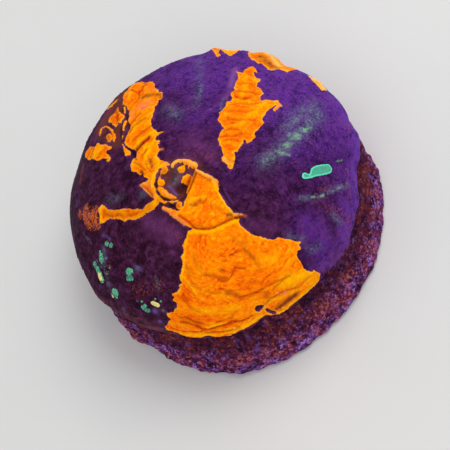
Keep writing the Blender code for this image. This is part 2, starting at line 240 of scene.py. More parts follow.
# Outlines of the orange patches, in the photograph's pixels
patchOutlines = {
    "youngPlate": [
        (197, 171), (201, 173.5), (205, 177), (210, 179), (214, 180), (218, 185), (219, 190), (222, 198),
        (226, 204), (230, 209), (234, 214), (238, 216), (247, 217), (240, 219), (232, 222), (220, 228),
        (207, 232), (196, 231.5), (191, 229), (186, 226), (180, 221), (174, 217), (168, 213), (164, 209),
        (171, 209.5), (177, 211.5), (181, 211.5), (184, 208), (186, 203), (188, 198), (187, 192), (189, 187),
        (191, 184), (193, 180), (196, 175)],
    "mouthBlob": [
        (180, 181), (182, 176), (186, 173.5), (190, 175), (193, 178), (193, 181), (190.5, 185), (187, 185.5),
        (183, 183.5)],
    "fan": [
        (192, 230), (189, 232), (188, 235), (186, 238), (185, 242), (183, 246), (184, 250), (183, 254),
        (181, 256), (182, 260), (183, 265), (182, 270), (181, 274), (179, 277), (181, 281), (182, 284),
        (179, 286), (180, 289), (177, 292), (172, 295), (174, 298), (173, 301), (177, 304), (177, 308),
        (173, 312), (167, 314), (168, 318), (171, 320), (169, 322), (168, 325), (165, 327.5), (168, 330),
        (172, 331), (176, 333), (182, 335), (188, 337), (195, 338), (202, 338), (208, 336), (211, 336),
        (216, 337.5), (225, 336.5), (232, 335), (237, 332.5), (243, 330.5), (250, 326.5), (255, 323.5),
        (260, 320.5), (264, 316.5), (267, 315.5), (271, 317.5), (276, 318), (280, 316.5), (285, 311.5),
        (290, 307.5), (295, 303.5), (300, 298.5), (305, 294.5), (310, 289.5), (315, 285.5), (318, 281.5),
        (321, 276), (318, 273), (314, 271), (312, 272.5), (307, 271), (304, 268), (301, 263), (298, 258),
        (297, 255), (298, 252), (301, 250), (301, 248), (299, 245), (301, 242.5), (297, 242), (291, 241),
        (286, 239.5), (278, 238.5), (274, 241), (270, 240), (265, 238.5), (258, 237.5), (252, 235), (247, 232),
        (243, 228), (240, 225), (239, 222), (239, 218), (232, 220), (220, 226), (207, 230)],
    "top": [
        (237, 72.4), (240, 73), (243.4, 74), (244.6, 71), (247.4, 68.6), (252.6, 67), (256.4, 68.4), (256.6, 71.4),
        (254, 72), (255, 77), (258, 79), (262, 80), (260, 83), (257, 84), (257, 87), (260, 89), (263, 92),
        (265, 95), (262, 96), (260, 98), (261, 101), (267, 101), (273, 100.5), (278, 101.5), (280, 104),
        (282, 107), (278, 108), (276, 112), (272, 112), (273, 110), (276, 106), (270, 109.5), (267, 112),
        (264, 117), (262, 120), (264, 123), (261, 127), (259, 130), (255, 133), (256, 137), (252, 141),
        (248, 144), (245, 140), (243, 144), (240, 148), (237, 152), (234, 153), (236, 158), (235, 162),
        (233, 166), (234, 170), (231, 170), (228, 167), (226, 163), (222, 161), (223, 157), (223, 152),
        (221, 147), (219, 143), (218, 139), (220, 134), (222, 130), (225, 129), (222, 126), (219, 122),
        (217, 120), (220, 116), (220, 112), (223, 109), (226, 106), (227, 103), (232, 102), (232, 98),
        (231, 95), (234, 92), (237, 91), (234, 89), (236, 84), (238, 80), (238, 76)],
    "farOne": [
        (209, 53), (215, 49), (219, 47), (226, 48), (235, 48.5), (242, 49.5), (241, 53), (236, 55), (232, 57),
        (228, 56), (225, 53.5), (221, 52), (218, 54), (221, 57), (217, 57.5), (215, 54)],
    "farTwo": [
        (247, 53), (252, 53.5), (258, 52), (264, 49.5), (270, 50), (276, 54), (282, 59), (288, 63.5), (293, 67),
        (298, 67.5), (300, 70), (291, 71), (288, 73), (283, 71), (279, 69), (272, 69), (268, 66), (262, 62),
        (258, 63), (253, 62), (250, 58)],
    "farThree": [(306, 75), (312, 79), (320, 85), (327, 92), (321, 91), (313, 84)],
    "topLeft": [
        (133, 88), (137, 85), (142, 83), (148, 83.5), (153, 82.5), (155, 85), (155, 88), (158, 90), (160, 93),
        (163, 93), (162, 99), (159, 101), (158, 105), (155, 108), (155, 112), (153, 117), (151, 121),
        (152, 126), (155, 131), (159, 133), (167, 131), (160, 135), (156, 137), (156, 140), (160, 142),
        (158, 146), (159, 149), (163, 149.5), (158, 153), (157, 157), (161, 161), (165, 164), (168, 166),
        (162, 171), (158, 176), (156, 184), (155, 191), (152, 183), (150, 180), (147, 179), (144, 178),
        (143, 173), (141, 175), (138, 175), (136, 172), (132, 172), (131, 167), (133, 160), (136, 157),
        (137, 151), (132, 149), (127, 147), (125, 143), (126, 138), (129, 133), (131, 128), (129, 120),
        (130, 113), (127, 107), (123, 105), (124, 98), (127, 94), (131, 91)],
    "lowerShred": [(122.6, 144.6), (125, 147.4), (128, 149.8), (131.6, 153), (130.6, 155.4), (126.4, 156.4),
                   (124, 152)],
    "web": [(139.4, 186), (143.8, 182.6), (149, 181), (153, 177), (154.4, 190), (159, 198), (160, 201),
            (156, 200), (152.4, 198), (148.6, 194.4), (144.6, 190.4)],
    "diamond": [(118.2, 107.6), (120, 112), (124.6, 116.6), (124, 120), (121, 124), (118.4, 123.4), (116, 128.6),
                (113.6, 125), (109.4, 122.6), (110, 118.4), (114, 114.4), (116.6, 111)],
    "smallLeft": [
        (85.6, 158), (85.4, 154.6), (87.6, 151), (89.6, 147.4), (92.6, 146.6), (94, 148.4), (96, 147.6),
        (97.4, 144.6), (99.8, 144), (102, 145.6), (106.4, 145), (109, 146.6), (111.6, 147.8), (109.6, 150.2),
        (107, 151.6), (107.2, 154), (109.6, 156.2), (107.6, 158.6), (103, 159), (97.6, 161.4), (92.6, 159.6),
        (89, 160.8)],
    "strip": [
        (162, 202), (157, 200), (150, 203.5), (145, 207.5), (143, 209.5), (135, 210.5), (127, 209), (120, 210),
        (112, 210.4), (108, 209.4), (104.6, 207.4), (102, 205.6), (98.8, 208.2), (99.2, 212), (100.4, 216.6),
        (99.6, 222), (101, 224.6), (104, 223.8), (106.6, 221.2), (109.8, 219), (114.6, 220), (117.4, 219),
        (121.4, 220.6), (125.2, 222.8), (128, 219.4), (134, 220.4), (140.4, 219.4), (143.6, 215.8), (150, 211.8),
        (156, 208), (161, 203)],
}

# Places inside a patch where the purple flesh shows through
patchHoles = {
    "notchLeft": [(254, 311), (256, 306), (261, 305), (264, 306), (263, 309), (259, 313)],
    "notchRight": [(266, 309), (270, 310.5), (277, 312), (276, 314.5), (272, 315), (266, 311.5)],
    "lipHole": [(169, 206), (172, 205.5), (175, 206.5), (174, 209), (170, 208.5)],
}

tealBar = [
    (302.6, 177), (303.2, 174), (305.8, 173), (308.6, 175), (310.4, 174.4), (311.6, 169.4), (315.4, 167),
    (321.4, 165.8), (328.4, 165), (330.6, 167), (332, 171), (331, 174), (321.4, 175.8), (316, 176.6),
    (311.2, 178.6), (305.6, 179.6), (303.2, 179)]

# A stroke lays down the field of its own name, or these. "patch" makes the flesh orange there.
strokeParts = {
    "orange": ("patch",),
    "cream": ("patch", "cream"),
    "salmon": ("patch", "blush"),
    "milk": ("cream",),
    "blot": ("blush",),
    "dark": ("shade",),
    "form": (),
}
strokeLook = {
    "flatKinds": ("mint", "pale"),      # even to their edge, where the others fade from the middle
    "flatEdge": 0.45,                   # the soft part of that edge, in half widths
    "covered": ("shade", "rust", "glow", "crack"),      # what a patch stroke clears where it lies
    "coverEdge": 0.2,
    "reach": 3.0,                       # half widths out to where its mark has faded
}

# Each stroke: kind, strength, half width in pixels, height in mm, and the pixels it passes
mouthStrokes = [
    ("umber", 1.6, 10, 0, (164, 179), (168, 172), (178, 170), (188, 171), (192, 176)),
    ("umber", 1.6, 10, 0, (164, 188), (172, 195), (181, 197)),
    ("dark", 0.6, 4, -0.5, (174, 186), (178, 190), (181, 187)),
    ("dark", 0.7, 3, -0.3, (184, 190), (184.5, 196), (181, 202)),
    ("dark", 0.5, 2.6, -0.3, (172, 174), (170, 180)),
    # Grey-green glints in the mouth's hollow: painted highlight
    ("glow", 0.5, 5, 0.1, (172, 182), (174.4, 176), (177, 171)),
    ("glow", 0.4, 2, 0.1, (172.6, 178), (175, 180)),
    ("umber", 1, 3, 0.2, (167, 170), (171, 170)),
    ("orange", 0.9, 1.1, 0.2, (163.4, 174), (160.4, 178.4), (161, 182)),
    ("stain", 0.8, 1.6, 0, (163.4, 174), (160.4, 178.4)),
    ("mauve", 1, 2.2, 0.2, (166.8, 185.5), (170.4, 188.5), (173.7, 192.8), (175.8, 194.2)),
    ("lilac", 0.85, 1, 0.35, (166.8, 185.5), (170.4, 188.5), (173.7, 192.8), (175.8, 194.2)),
    ("orange", 1, 1.9, 0.5, (167.5, 165.6), (162.2, 167.8), (157.6, 172.2), (154.9, 177), (153.8, 182.5),
        (153.9, 188.5), (155.2, 194), (158.5, 198.5), (162, 201)),
    ("sun", 1, 1.7, 0, (166, 166.5), (161, 169), (157, 173.5), (154.5, 179), (154, 189)),
    ("cream", 0.8, 1.7, 0.6, (173.2, 167.5), (176.5, 164), (181, 162.3), (187, 162.4), (193, 164), (198, 167.2)),
    ("orange", 1, 1.5, 0.3, (186, 164.8), (192, 166.5), (196, 170)),
    ("orange", 1, 2.2, 0.4, (178.8, 170), (183.2, 169)),
    ("salmon", 0.9, 1.8, 0.4, (190, 168.2)),
    ("orange", 1, 2.4, 0.4, (163.4, 173.6), (166.4, 170.6)),
    ("stain", 0.6, 2.4, 0, (165, 172.5)),
    ("orange", 1, 3.5, 0.5, (161.2, 183)),
    ("sun", 0.6, 1.8, 0, (161.6, 182)),
    ("orange", 1, 2.8, 0.4, (160.4, 190), (163.4, 194), (168, 196.8), (173, 198.8)),
    ("salmon", 0.6, 1.4, 0.2, (164, 191), (168, 195), (174, 198.5)),
    ("crack", 0.6, 1.2, 0, (159.6, 193), (163.5, 197), (169, 199.5)),
    ("dark", 0.9, 1, -0.4, (157.6, 181), (157, 187), (158.6, 193), (162.3, 198.8), (167, 200.6), (176, 200.2)),
    ("form", 0, 4.6, 0.6, (186.5, 179.5)),
    ("orange", 1, 2.3, 0, (197, 174.4), (194, 180.6), (190.4, 187), (188.6, 191)),
    ("crack", 0.6, 1.2, 0, (193, 176), (192.4, 181), (189.4, 185)),
    ("sun", 0.7, 1.4, 0.1, (181, 180), (183.5, 176), (187, 175)),
    ("orange", 1, 1.7, 0.2, (187.2, 187.5), (186.6, 191)),
    ("crack", 1, 1.9, -0.4, (197.2, 175), (193.8, 181.8), (190.6, 187), (188.6, 191.6)),
    ("rust", 0.6, 1.6, -0.2, (197, 174), (195.5, 178)),
    ("orange", 1, 1.2, 0.4, (161.4, 201), (165.2, 203.4), (170.6, 202.9), (176, 203.2), (177.6, 201.6)),
    ("orange", 1, 3, 0.5, (180.4, 205.4), (181, 208)),
    ("stain", 0.5, 1.4, -0.1, (179, 206), (181.5, 208.5)),
    ("dark", 1, 2.1, -0.6, (171.4, 206.6), (174, 206.8)),
    ("orange", 1, 2.1, 0.35, (165, 209.3), (169.4, 211.4), (173.7, 215.4), (178.3, 218.2), (186, 224),
        (192, 227)),
    ("salmon", 0.8, 1.8, 0.1, (165, 209.5), (169.5, 212), (173.5, 216), (178, 219.2), (186, 225)),
    ("crack", 1, 1.1, -0.3, (180, 216.5), (183.5, 218.8), (187.4, 221.4), (191.4, 224.4), (194, 227.6)),
    ("cream", 0.8, 1.6, 0.5, (197.4, 172.2), (201.4, 173.6), (205.8, 176.2), (211.8, 179)),
    ("stain", 1, 1.2, -0.2, (200.4, 176.4), (205.4, 179.4), (211, 181.6)),
    ("salmon", 0.8, 1.2, 0.4, (212.4, 179), (216.4, 182), (218, 186)),
    ("sun", 1, 1.9, 0.35, (214, 181), (216.4, 188.3), (222.2, 197.6), (227.6, 206.4), (232.4, 211.8),
        (236.4, 215)),
    ("salmon", 0.9, 1.2, 0.2, (237, 214.6), (241, 216), (245.5, 217)),
    ("rust", 1, 2.4, -0.1, (228.6, 216.2), (231.5, 216)),
    ("crack", 1, 1.15, -0.45, (243.5, 217.4), (237.2, 218.3), (230.4, 220.6), (221.2, 225.2), (215, 228.4),
        (207.3, 229.9), (198.2, 229.9), (193.8, 228.2)),
    ("dark", 0.9, 1.2, -0.2, (245, 217), (241, 217.8), (236, 218.6)),
    ("sun", 1, 1.9, 0.25, (189.6, 233.8), (198.2, 232.8), (208.4, 233.2), (216.2, 230.9), (224.2, 227.3),
        (231.8, 223.6), (238.2, 221.4)),
    ("mauve", 0.5, 1.3, 0.2, (223.5, 189.6), (227, 195.6), (231, 201.6), (234, 206)),
    ("dark", 0.5, 1, -0.2, (221, 187), (224.4, 194.5), (228.4, 201)),
    ("dark", 0.5, 1, -0.15, (231, 203), (235, 209.5), (239, 213)),
    ("umber", 0.7, 2.6, 0, (178, 159.4), (186, 157.4), (194, 159.6), (201, 165.5)),
    ("umber", 0.5, 2, 0, (203, 170), (209, 173.4)),
    ("crack", 1, 1.8, -0.3, (185, 186), (189, 180), (192, 174.6), (195, 171)),
    ("rust", 0.8, 1.5, -0.1, (191, 207), (196, 205.4), (202, 200.6)),
    ("crack", 0.75, 1.3, -0.15, (195.4, 207), (198.2, 206.4)),
    ("crack", 0.6, 1.3, -0.15, (201.6, 204.2), (204.8, 203.2), (207, 200.8)),
    ("sun", 0.8, 1.3, 0.15, (189.7, 203.6), (194, 200.8), (199.4, 199.2), (206, 198)),
    ("sun", 0.8, 1.3, 0.15, (181.6, 213.4), (188.6, 214.6), (193, 212.4), (196, 209)),
    ("sun", 0.5, 1.2, 0.1, (186, 204), (185.6, 208), (182, 212)),
    ("stain", 0.6, 1.6, -0.1, (196.4, 226.4), (203.4, 226.6)),
    ("stain", 0.4, 2.4, -0.1, (214, 206), (222, 212)),
]

fanStrokes = [
    ("crack", 0.7, 1.2, -0.3, (180.6, 317.6), (188.2, 319), (195.8, 323), (203.4, 324.3)),
    ("crack", 1, 1.35, -0.4, (181.7, 322.2), (192.5, 324.6), (200, 328.8), (207.7, 329.8), (216.4, 327),
        (225.1, 325), (233.8, 323.2), (246.8, 319.6), (252.4, 316)),
    ("crack", 0.6, 1.1, -0.25, (216.4, 322.6), (225.1, 320), (232.7, 318.4)),
    ("crack", 0.9, 1.2, -0.3, (172, 328), (184, 331.2), (196, 332.4), (203, 331)),
    ("dark", 0.75, 1.15, -0.4, (206.4, 332.6), (212, 332.4), (218, 331.8)),
    ("crack", 0.8, 1.1, -0.3, (216, 331.9), (225.1, 332.2), (234, 330.2), (240, 327.6)),
    ("stain", 0.6, 2.6, -0.1, (184, 321), (193, 322), (201, 326)),
    ("sun", 0.8, 1.4, 0.2, (176, 332.2), (185, 334.4), (195, 336), (203, 335.8)),
    ("sun", 0.9, 1.4, 0.2, (212, 335), (225, 334.2), (235, 331.6), (245, 327.4), (255, 321.4)),
    ("sun", 0.9, 1.4, 0.2, (208, 327), (216, 325), (226, 323)),
    ("sun", 0.8, 1.4, 0.2, (216, 330), (226, 329.6), (236, 327)),
    ("sun", 0.6, 3, 0.15, (196, 310), (210, 313), (224, 311), (238, 308)),
    ("crack", 0.7, 1.2, -0.3, (240.3, 298.6), (250, 295.6), (257.6, 292.8), (268.5, 286.4), (280, 281),
        (290, 276.6)),
    ("crack", 0.6, 1.1, -0.25, (272.8, 290.5), (279, 284.4), (286, 279)),
    ("rust", 0.8, 1.2, -0.3, (264.4, 304.8), (271, 299.6), (278.2, 295), (288, 290.7), (299.9, 287.2)),
    ("stain", 0.8, 4, 0, (280, 306), (288, 300), (298, 293)),
    ("rust", 1.4, 3, -0.25, (277.5, 309.4), (284, 305), (290, 300.6), (296, 295.6)),
    ("crack", 0.7, 1.6, -0.1, (277.5, 309.4), (284, 305), (290, 300.6), (296, 295.6)),
    ("sun", 0.9, 2.2, 0.1, (186, 334), (200, 335.6), (209, 334.4), (218, 335), (229, 332.4), (240, 328.6),
        (252, 322.4), (262, 315.6)),
    ("sun", 0.9, 2.2, 0.1, (275, 316), (284.6, 310.8), (295.4, 301), (306, 291.4), (316, 281)),
    ("lilac", 0.6, 1.2, 0.1, (279, 294)),
    ("lilac", 0.7, 1.2, 0.1, (285.6, 293.6)),
    ("sun", 1, 1.3, 0.2, (279.3, 314.2), (284.6, 310.6), (290.2, 305.9), (296, 301), (301, 296.4), (308, 290.4),
        (314, 285.4), (319, 279.6)),
    ("sun", 0.7, 2, 0.15, (267, 303.6), (274, 299), (281, 299), (290, 294.4), (300, 289.4)),
    ("sun", 0.75, 8, 0.1, (284, 284), (298, 276), (310, 277)),
    ("sun", 0.5, 6, 0, (262, 262), (276, 258)),
    ("sun", 0.9, 1.3, 0.1, (184.5, 252), (184.4, 262), (182.6, 272), (181.4, 280)),
    ("sun", 0.8, 1.2, 0.1, (188.4, 236), (186.6, 243), (184.6, 249)),
    ("sun", 0.6, 1.4, 0.1, (266.6, 314), (260, 318), (252, 323.4)),
    ("stain", 0.7, 1.3, -0.1, (301, 284.4), (305, 281), (308, 278.6), (312, 276.2)),
    ("stain", 0.5, 1.3, -0.1, (303, 293.4), (310, 287.4), (316, 281.4)),
    ("crack", 0.75, 1.15, -0.15, (245.7, 269.4), (236, 268.8), (233.8, 271.4), (231.6, 277.4), (228, 281.9),
        (222.8, 282.4), (218.4, 280.4)),
    ("stain", 0.9, 1.8, -0.15, (205.5, 275.4), (213.4, 277.4), (220.7, 278.8), (227, 279.4)),
    ("crack", 0.7, 2.1, -0.1, (221, 270.4), (224.6, 271.4)),
    ("crack", 0.35, 2.2, 0, (225.1, 258.5)),
    ("crack", 0.6, 1.1, -0.15, (220.4, 289.4), (225, 291.4), (231.6, 291.2)),
    ("stain", 1, 2.4, -0.1, (227, 294), (233.6, 294.4), (239.4, 297)),
    ("stain", 0.9, 2.3, -0.1, (244, 249.6), (249, 254), (254, 259.6)),
    ("stain", 0.5, 1.8, -0.1, (254, 260), (258, 266), (262, 272)),
    ("crack", 0.7, 1.1, -0.15, (229.4, 256.6), (234, 254.4), (238.2, 251.4)),
    ("stain", 1, 3, -0.1, (265.6, 296.4), (267.6, 294.6)),
    ("stain", 0.5, 2.4, -0.1, (194, 256), (196, 264), (200, 270)),
    ("stain", 0.55, 2, -0.15, (187, 268), (189, 278), (194, 286), (200, 290)),
    ("stain", 0.5, 1.6, -0.12, (206, 292), (214, 294.4), (221, 294)),
    ("stain", 0.5, 1.6, -0.12, (180, 297), (185, 303), (191, 308), (200, 312)),
    ("stain", 0.4, 1.4, -0.1, (238, 302), (250, 297), (262, 291.5)),
    ("stain", 0.35, 5, 0, (236, 240), (244, 246)),
    ("pale", 0.9, 0.9, 0.15, (234.2, 328.7), (235.4, 328.3)),
    ("dark", 0.5, 1.2, -0.3, (256, 309.6), (261, 306.6)),
    ("dark", 0.5, 1.2, -0.3, (267.5, 309.5), (275, 313)),
]

patchStrokes = [
    ("umber", 1.5, 10, 0, (122, 96), (114, 106), (107, 118), (101, 130)),
    ("umber", 1.5, 9, -0.1, (123, 102), (123, 118), (120, 130), (117, 141)),
    ("umber", 1.2, 7, 0, (102, 133), (110, 139), (116, 136)),
    ("umber", 1, 3, 0, (83, 166), (81.6, 174), (80, 182)),
    ("dark", 0.75, 1.6, -0.35, (123, 110), (127, 116), (126.5, 120), (122, 125), (120, 133), (122, 141)),
    ("dark", 0.6, 1.8, -0.3, (103, 136), (107, 133.5)),
    ("orange", 0.7, 1.3, 0.25, (109.2, 110.2), (113.6, 105.4), (119.2, 101)),
    ("rust", 0.6, 1.3, 0, (109.2, 110.2), (113.6, 105.4), (119.2, 101)),
    ("orange", 1, 1.35, 0.4, (101, 135.4), (101.4, 131.6), (104, 128.4), (107.6, 127.8), (111.2, 129.8),
        (114, 133.4), (115.6, 138), (114.6, 142)),
    ("stain", 0.6, 1.2, 0, (101, 136), (101.2, 132)),
    ("orange", 0.8, 3.7, 0.4, (110.4, 138), (111, 140)),
    ("stain", 0.6, 4, 0, (110.4, 138), (111, 140)),
    ("blot", 0.45, 2.6, 0, (110, 137), (110.4, 140)),
    ("orange", 1, 1.25, 0.25, (125.4, 109), (125, 113.4)),
    ("cream", 0.7, 1.1, 0.1, (125.2, 110), (125, 112.6)),
    ("orange", 1, 1.9, 0.35, (126, 123), (124.8, 127), (124.2, 130)),
    ("orange", 0.9, 1, 0.2, (122.4, 136), (122, 139)),
    ("form", 0, 4, 0.45, (117.5, 117)),
    ("rust", 0.8, 1.8, 0, (110, 120), (113, 115.6), (117, 111)),
    ("rust", 0.8, 1.6, -0.15, (118.6, 113), (119.4, 118), (117.4, 124)),
    ("crack", 0.8, 1.1, -0.3, (133, 92.6), (136.4, 94.2), (139.6, 93.8), (143.4, 91.4), (145, 87.6)),
    ("crack", 0.8, 1.1, -0.4, (139.6, 94.2), (139.8, 99), (135.6, 103.6), (131.6, 107.4), (129.6, 112)),
    ("crack", 0.6, 1.1, -0.2, (145, 84.4), (147.4, 87.4), (150, 86.4)),
    ("rust", 1, 2.7, -0.2, (143, 98.6), (148.8, 97), (154, 96.4), (159.4, 95), (161.4, 97)),
    ("salmon", 0.5, 1.6, 0.1, (151, 91.4), (156.6, 91.6)),
    ("blot", 0.75, 4, 0, (143, 107), (149, 105)),
    ("blot", 0.5, 2.2, 0, (131.6, 119), (136, 112), (140, 108)),
    ("lilac", 0.7, 1.1, 0, (143.2, 109.6), (144.6, 109.3)),
    ("form", 0, 5, 0.5, (133, 97), (130, 103)),
    ("form", 0, 4, 0.4, (137, 88), (147, 90)),
    ("form", 0, 5, 0.3, (142, 118), (135, 127)),
    ("sun", 0.7, 2.4, 0.1, (133, 96), (129.4, 102)),
    ("sun", 0.8, 2, 0.1, (131, 91), (138, 86.6), (142.4, 86)),
    ("sun", 0.8, 2, 0.1, (152, 114), (146, 119), (138, 126), (133, 132)),
    ("sun", 0.8, 2, 0.1, (158, 132.4), (150, 134.4), (143, 140), (136, 147)),
    ("sun", 0.8, 2.4, 0.1, (154, 143), (150, 150), (146, 156), (146, 162)),
    ("sun", 0.8, 2.2, 0.1, (157, 158), (160, 164), (157, 170)),
    ("crack", 0.75, 1.3, -0.2, (129.8, 127), (135, 121.6), (142, 115.4)),
    ("crack", 0.75, 1.3, -0.2, (129.8, 132.6), (138, 125.6), (146.3, 119)),
    ("crack", 0.75, 1.3, -0.2, (133, 140.6), (143, 132.6), (152, 126)),
    ("crack", 1.1, 2, -0.25, (149.7, 138), (144.7, 142.4), (139.7, 147.2), (136.6, 150.4)),
    ("dark", 0.6, 1.1, -0.25, (143, 143.6), (139, 148), (136, 152)),
    ("crack", 0.7, 1.1, -0.3, (146.6, 149.6), (143.8, 154.4), (141.4, 158)),
    ("rust", 1.1, 2, -0.25, (150, 160.4), (151.4, 163.4), (152.2, 167)),
    ("dark", 0.85, 1.3, -0.4, (133.4, 151), (134.6, 154.6), (136.4, 160)),
    ("orange", 1, 1.9, 0.3, (137.2, 157.6)),
    ("blot", 0.9, 1.9, 0, (137.2, 157.6)),
    ("crack", 0.7, 1.1, -0.2, (134, 163), (138.4, 164.8), (142.4, 168), (146, 171)),
    ("crack", 0.5, 1.1, -0.2, (146, 162), (147, 168), (151, 172)),
    ("dark", 0.95, 2, -0.4, (141.4, 172.4), (142.4, 174.4)),
    ("rust", 0.7, 1.3, 0, (161.4, 133.4), (167, 131.6)),
    ("blot", 0.8, 1.3, 0, (160, 149.8), (163, 149.6)),
    ("blot", 0.8, 1.5, 0, (166, 164.6), (170, 166.2)),
    ("orange", 1, 1.2, 0.2, (165, 164), (170.2, 166.2)),
    ("crack", 0.85, 1.3, 0, (143.4, 186.4), (149, 190.4), (154, 197)),
    ("blot", 0.8, 1.4, 0.1, (140.6, 186), (146, 188.6), (150.4, 193), (155, 198.4)),
    ("blot", 0.7, 1.6, 0.1, (146, 183.4), (150.4, 182.6), (152, 188)),
    ("crack", 1, 1.5, -0.25, (92.6, 147.6), (90.8, 154), (88, 159)),
    ("crack", 0.8, 1.3, -0.2, (97, 146), (94.4, 152), (91.4, 158)),
    ("crack", 0.5, 1.3, -0.1, (99.4, 158), (103, 152.6), (107, 149)),
    ("sun", 0.7, 2, 0.1, (95, 159), (100, 153), (104, 147.4)),
    ("orange", 0.8, 1, 0.2, (109.6, 158), (110, 160.2), (107.6, 161)),
    ("rust", 1, 1.6, 0.1, (84, 169.6), (82.6, 174), (81, 180)),
    ("dust", 1, 3.6, 0.1, (79.6, 212.4), (81.6, 216.4)),
    ("dust", 1, 6.6, 0.1, (87, 210), (87, 216), (91, 225)),
    ("dust", 1, 6, 0.1, (95, 212), (95.4, 218), (97, 225)),
    ("lilac", 0.3, 1.6, 0, (76, 200), (77, 206)),
    ("glow", 0.3, 1.6, 0, (85, 234), (89, 240), (92, 243)),
    ("sun", 0.9, 1.8, 0.2, (101.6, 207.6), (101.6, 214), (101.4, 221.6), (103.6, 222)),
    ("stain", 0.55, 5, 0, (105, 214), (120, 215), (136, 215.6), (150, 208)),
    ("sun", 0.6, 1.6, 0.2, (106, 213), (112, 214.6), (118, 212.6), (125, 214), (131, 214)),
    ("sun", 0.6, 1.6, 0.2, (134, 218), (141, 216), (148, 210), (156, 204)),
    ("crack", 0.5, 1.2, -0.2, (104, 211), (108, 216), (112, 217.4)),
    ("crack", 0.5, 1.2, -0.2, (116, 216.4), (121, 215), (124, 219)),
    ("crack", 0.5, 1.2, -0.2, (128, 212), (130, 216.6), (137, 214.6)),
    ("mauve", 1, 3.6, 0.1, (235, 70), (233, 78), (231, 87)),
    ("mauve", 0.9, 2.8, 0.1, (230, 92), (226, 99)),
    ("blot", 0.8, 1.3, 0, (251.4, 79)),
    ("crack", 0.5, 1.2, -0.15, (247, 74), (251, 75.6)),
    ("crack", 0.6, 1.3, -0.15, (236, 91.6), (244, 92.8), (252, 93), (258, 95.4)),
    ("crack", 0.5, 1.2, -0.15, (232, 106), (240, 104), (250, 105.6), (258, 104)),
    ("crack", 0.5, 1.1, -0.15, (238.5, 84.5), (245, 83), (252, 84.6), (256, 87)),
    ("crack", 0.4, 1.1, -0.15, (230, 99), (238, 97.6), (246, 100), (254, 99)),
    ("crack", 0.5, 1.1, -0.15, (228, 112.6), (237, 111), (246, 113), (255, 111)),
    ("crack", 0.4, 1.1, -0.15, (226, 120.6), (235, 118.6), (245, 121)),
    ("crack", 0.5, 1.1, -0.15, (224, 130.6), (233, 128.6), (242, 131.4)),
    ("crack", 0.4, 1.1, -0.15, (223, 142), (230, 140), (238, 141.4)),
    ("lilac", 0.4, 3, 0.1, (235, 70), (233, 78), (231, 87)),
    ("crack", 0.5, 1.1, -0.15, (226, 118), (236, 121), (248, 120), (256, 122)),
    ("crack", 0.5, 1.1, -0.15, (224, 136), (234, 137), (244, 134), (252, 135)),
    ("crack", 0.5, 1.1, -0.15, (236, 97), (244, 99), (254, 97)),
    ("crack", 0.6, 1.1, -0.15, (224.4, 157), (229, 159.4), (234, 162.6)),
    ("sun", 0.6, 3, 0.1, (246, 76), (245, 88), (240, 100)),
    ("sun", 0.6, 3, 0.1, (266, 104), (254, 112), (240, 126)),
    ("cream", 0.5, 2.2, 0.1, (224, 159), (229, 164)),
    ("salmon", 0.8, 1, 0.1, (277, 103), (280, 106), (277, 110)),
    ("crack", 0.7, 5, 0, (209, 53), (213, 51)),
    ("rust", 0.9, 6.5, 0, (261, 57.5), (268, 60), (274, 65)),
    ("sun", 1, 1.8, 0, (252, 60.6), (258, 62.4), (266, 64.2), (272, 67.6), (279.4, 67.8), (287.4, 71.6)),
    ("sun", 0.9, 1.6, 0, (225.6, 52.6), (231, 55.6), (237.4, 54.4)),
    # Painted cream highlight along the far rim of the patch
    ("milk", 1.2, 7, 0, (258, 51.5), (265, 51.5), (271, 54.5), (276, 58.5), (281, 63)),
    ("sun", 0.9, 6, 0, (224, 51.5), (232, 53), (239, 52)),
    ("sun", 0.9, 1.1, 0.1, (256, 62), (264, 63), (271, 67.4), (281, 69.6)),
    # Painted cream highlight along the far rim of the patch
    ("milk", 1.4, 9, 0, (308, 77), (318, 84), (327, 92)),
    ("pale", 0.5, 0.9, 0, (210, 62.8), (211.6, 62.4)),
]

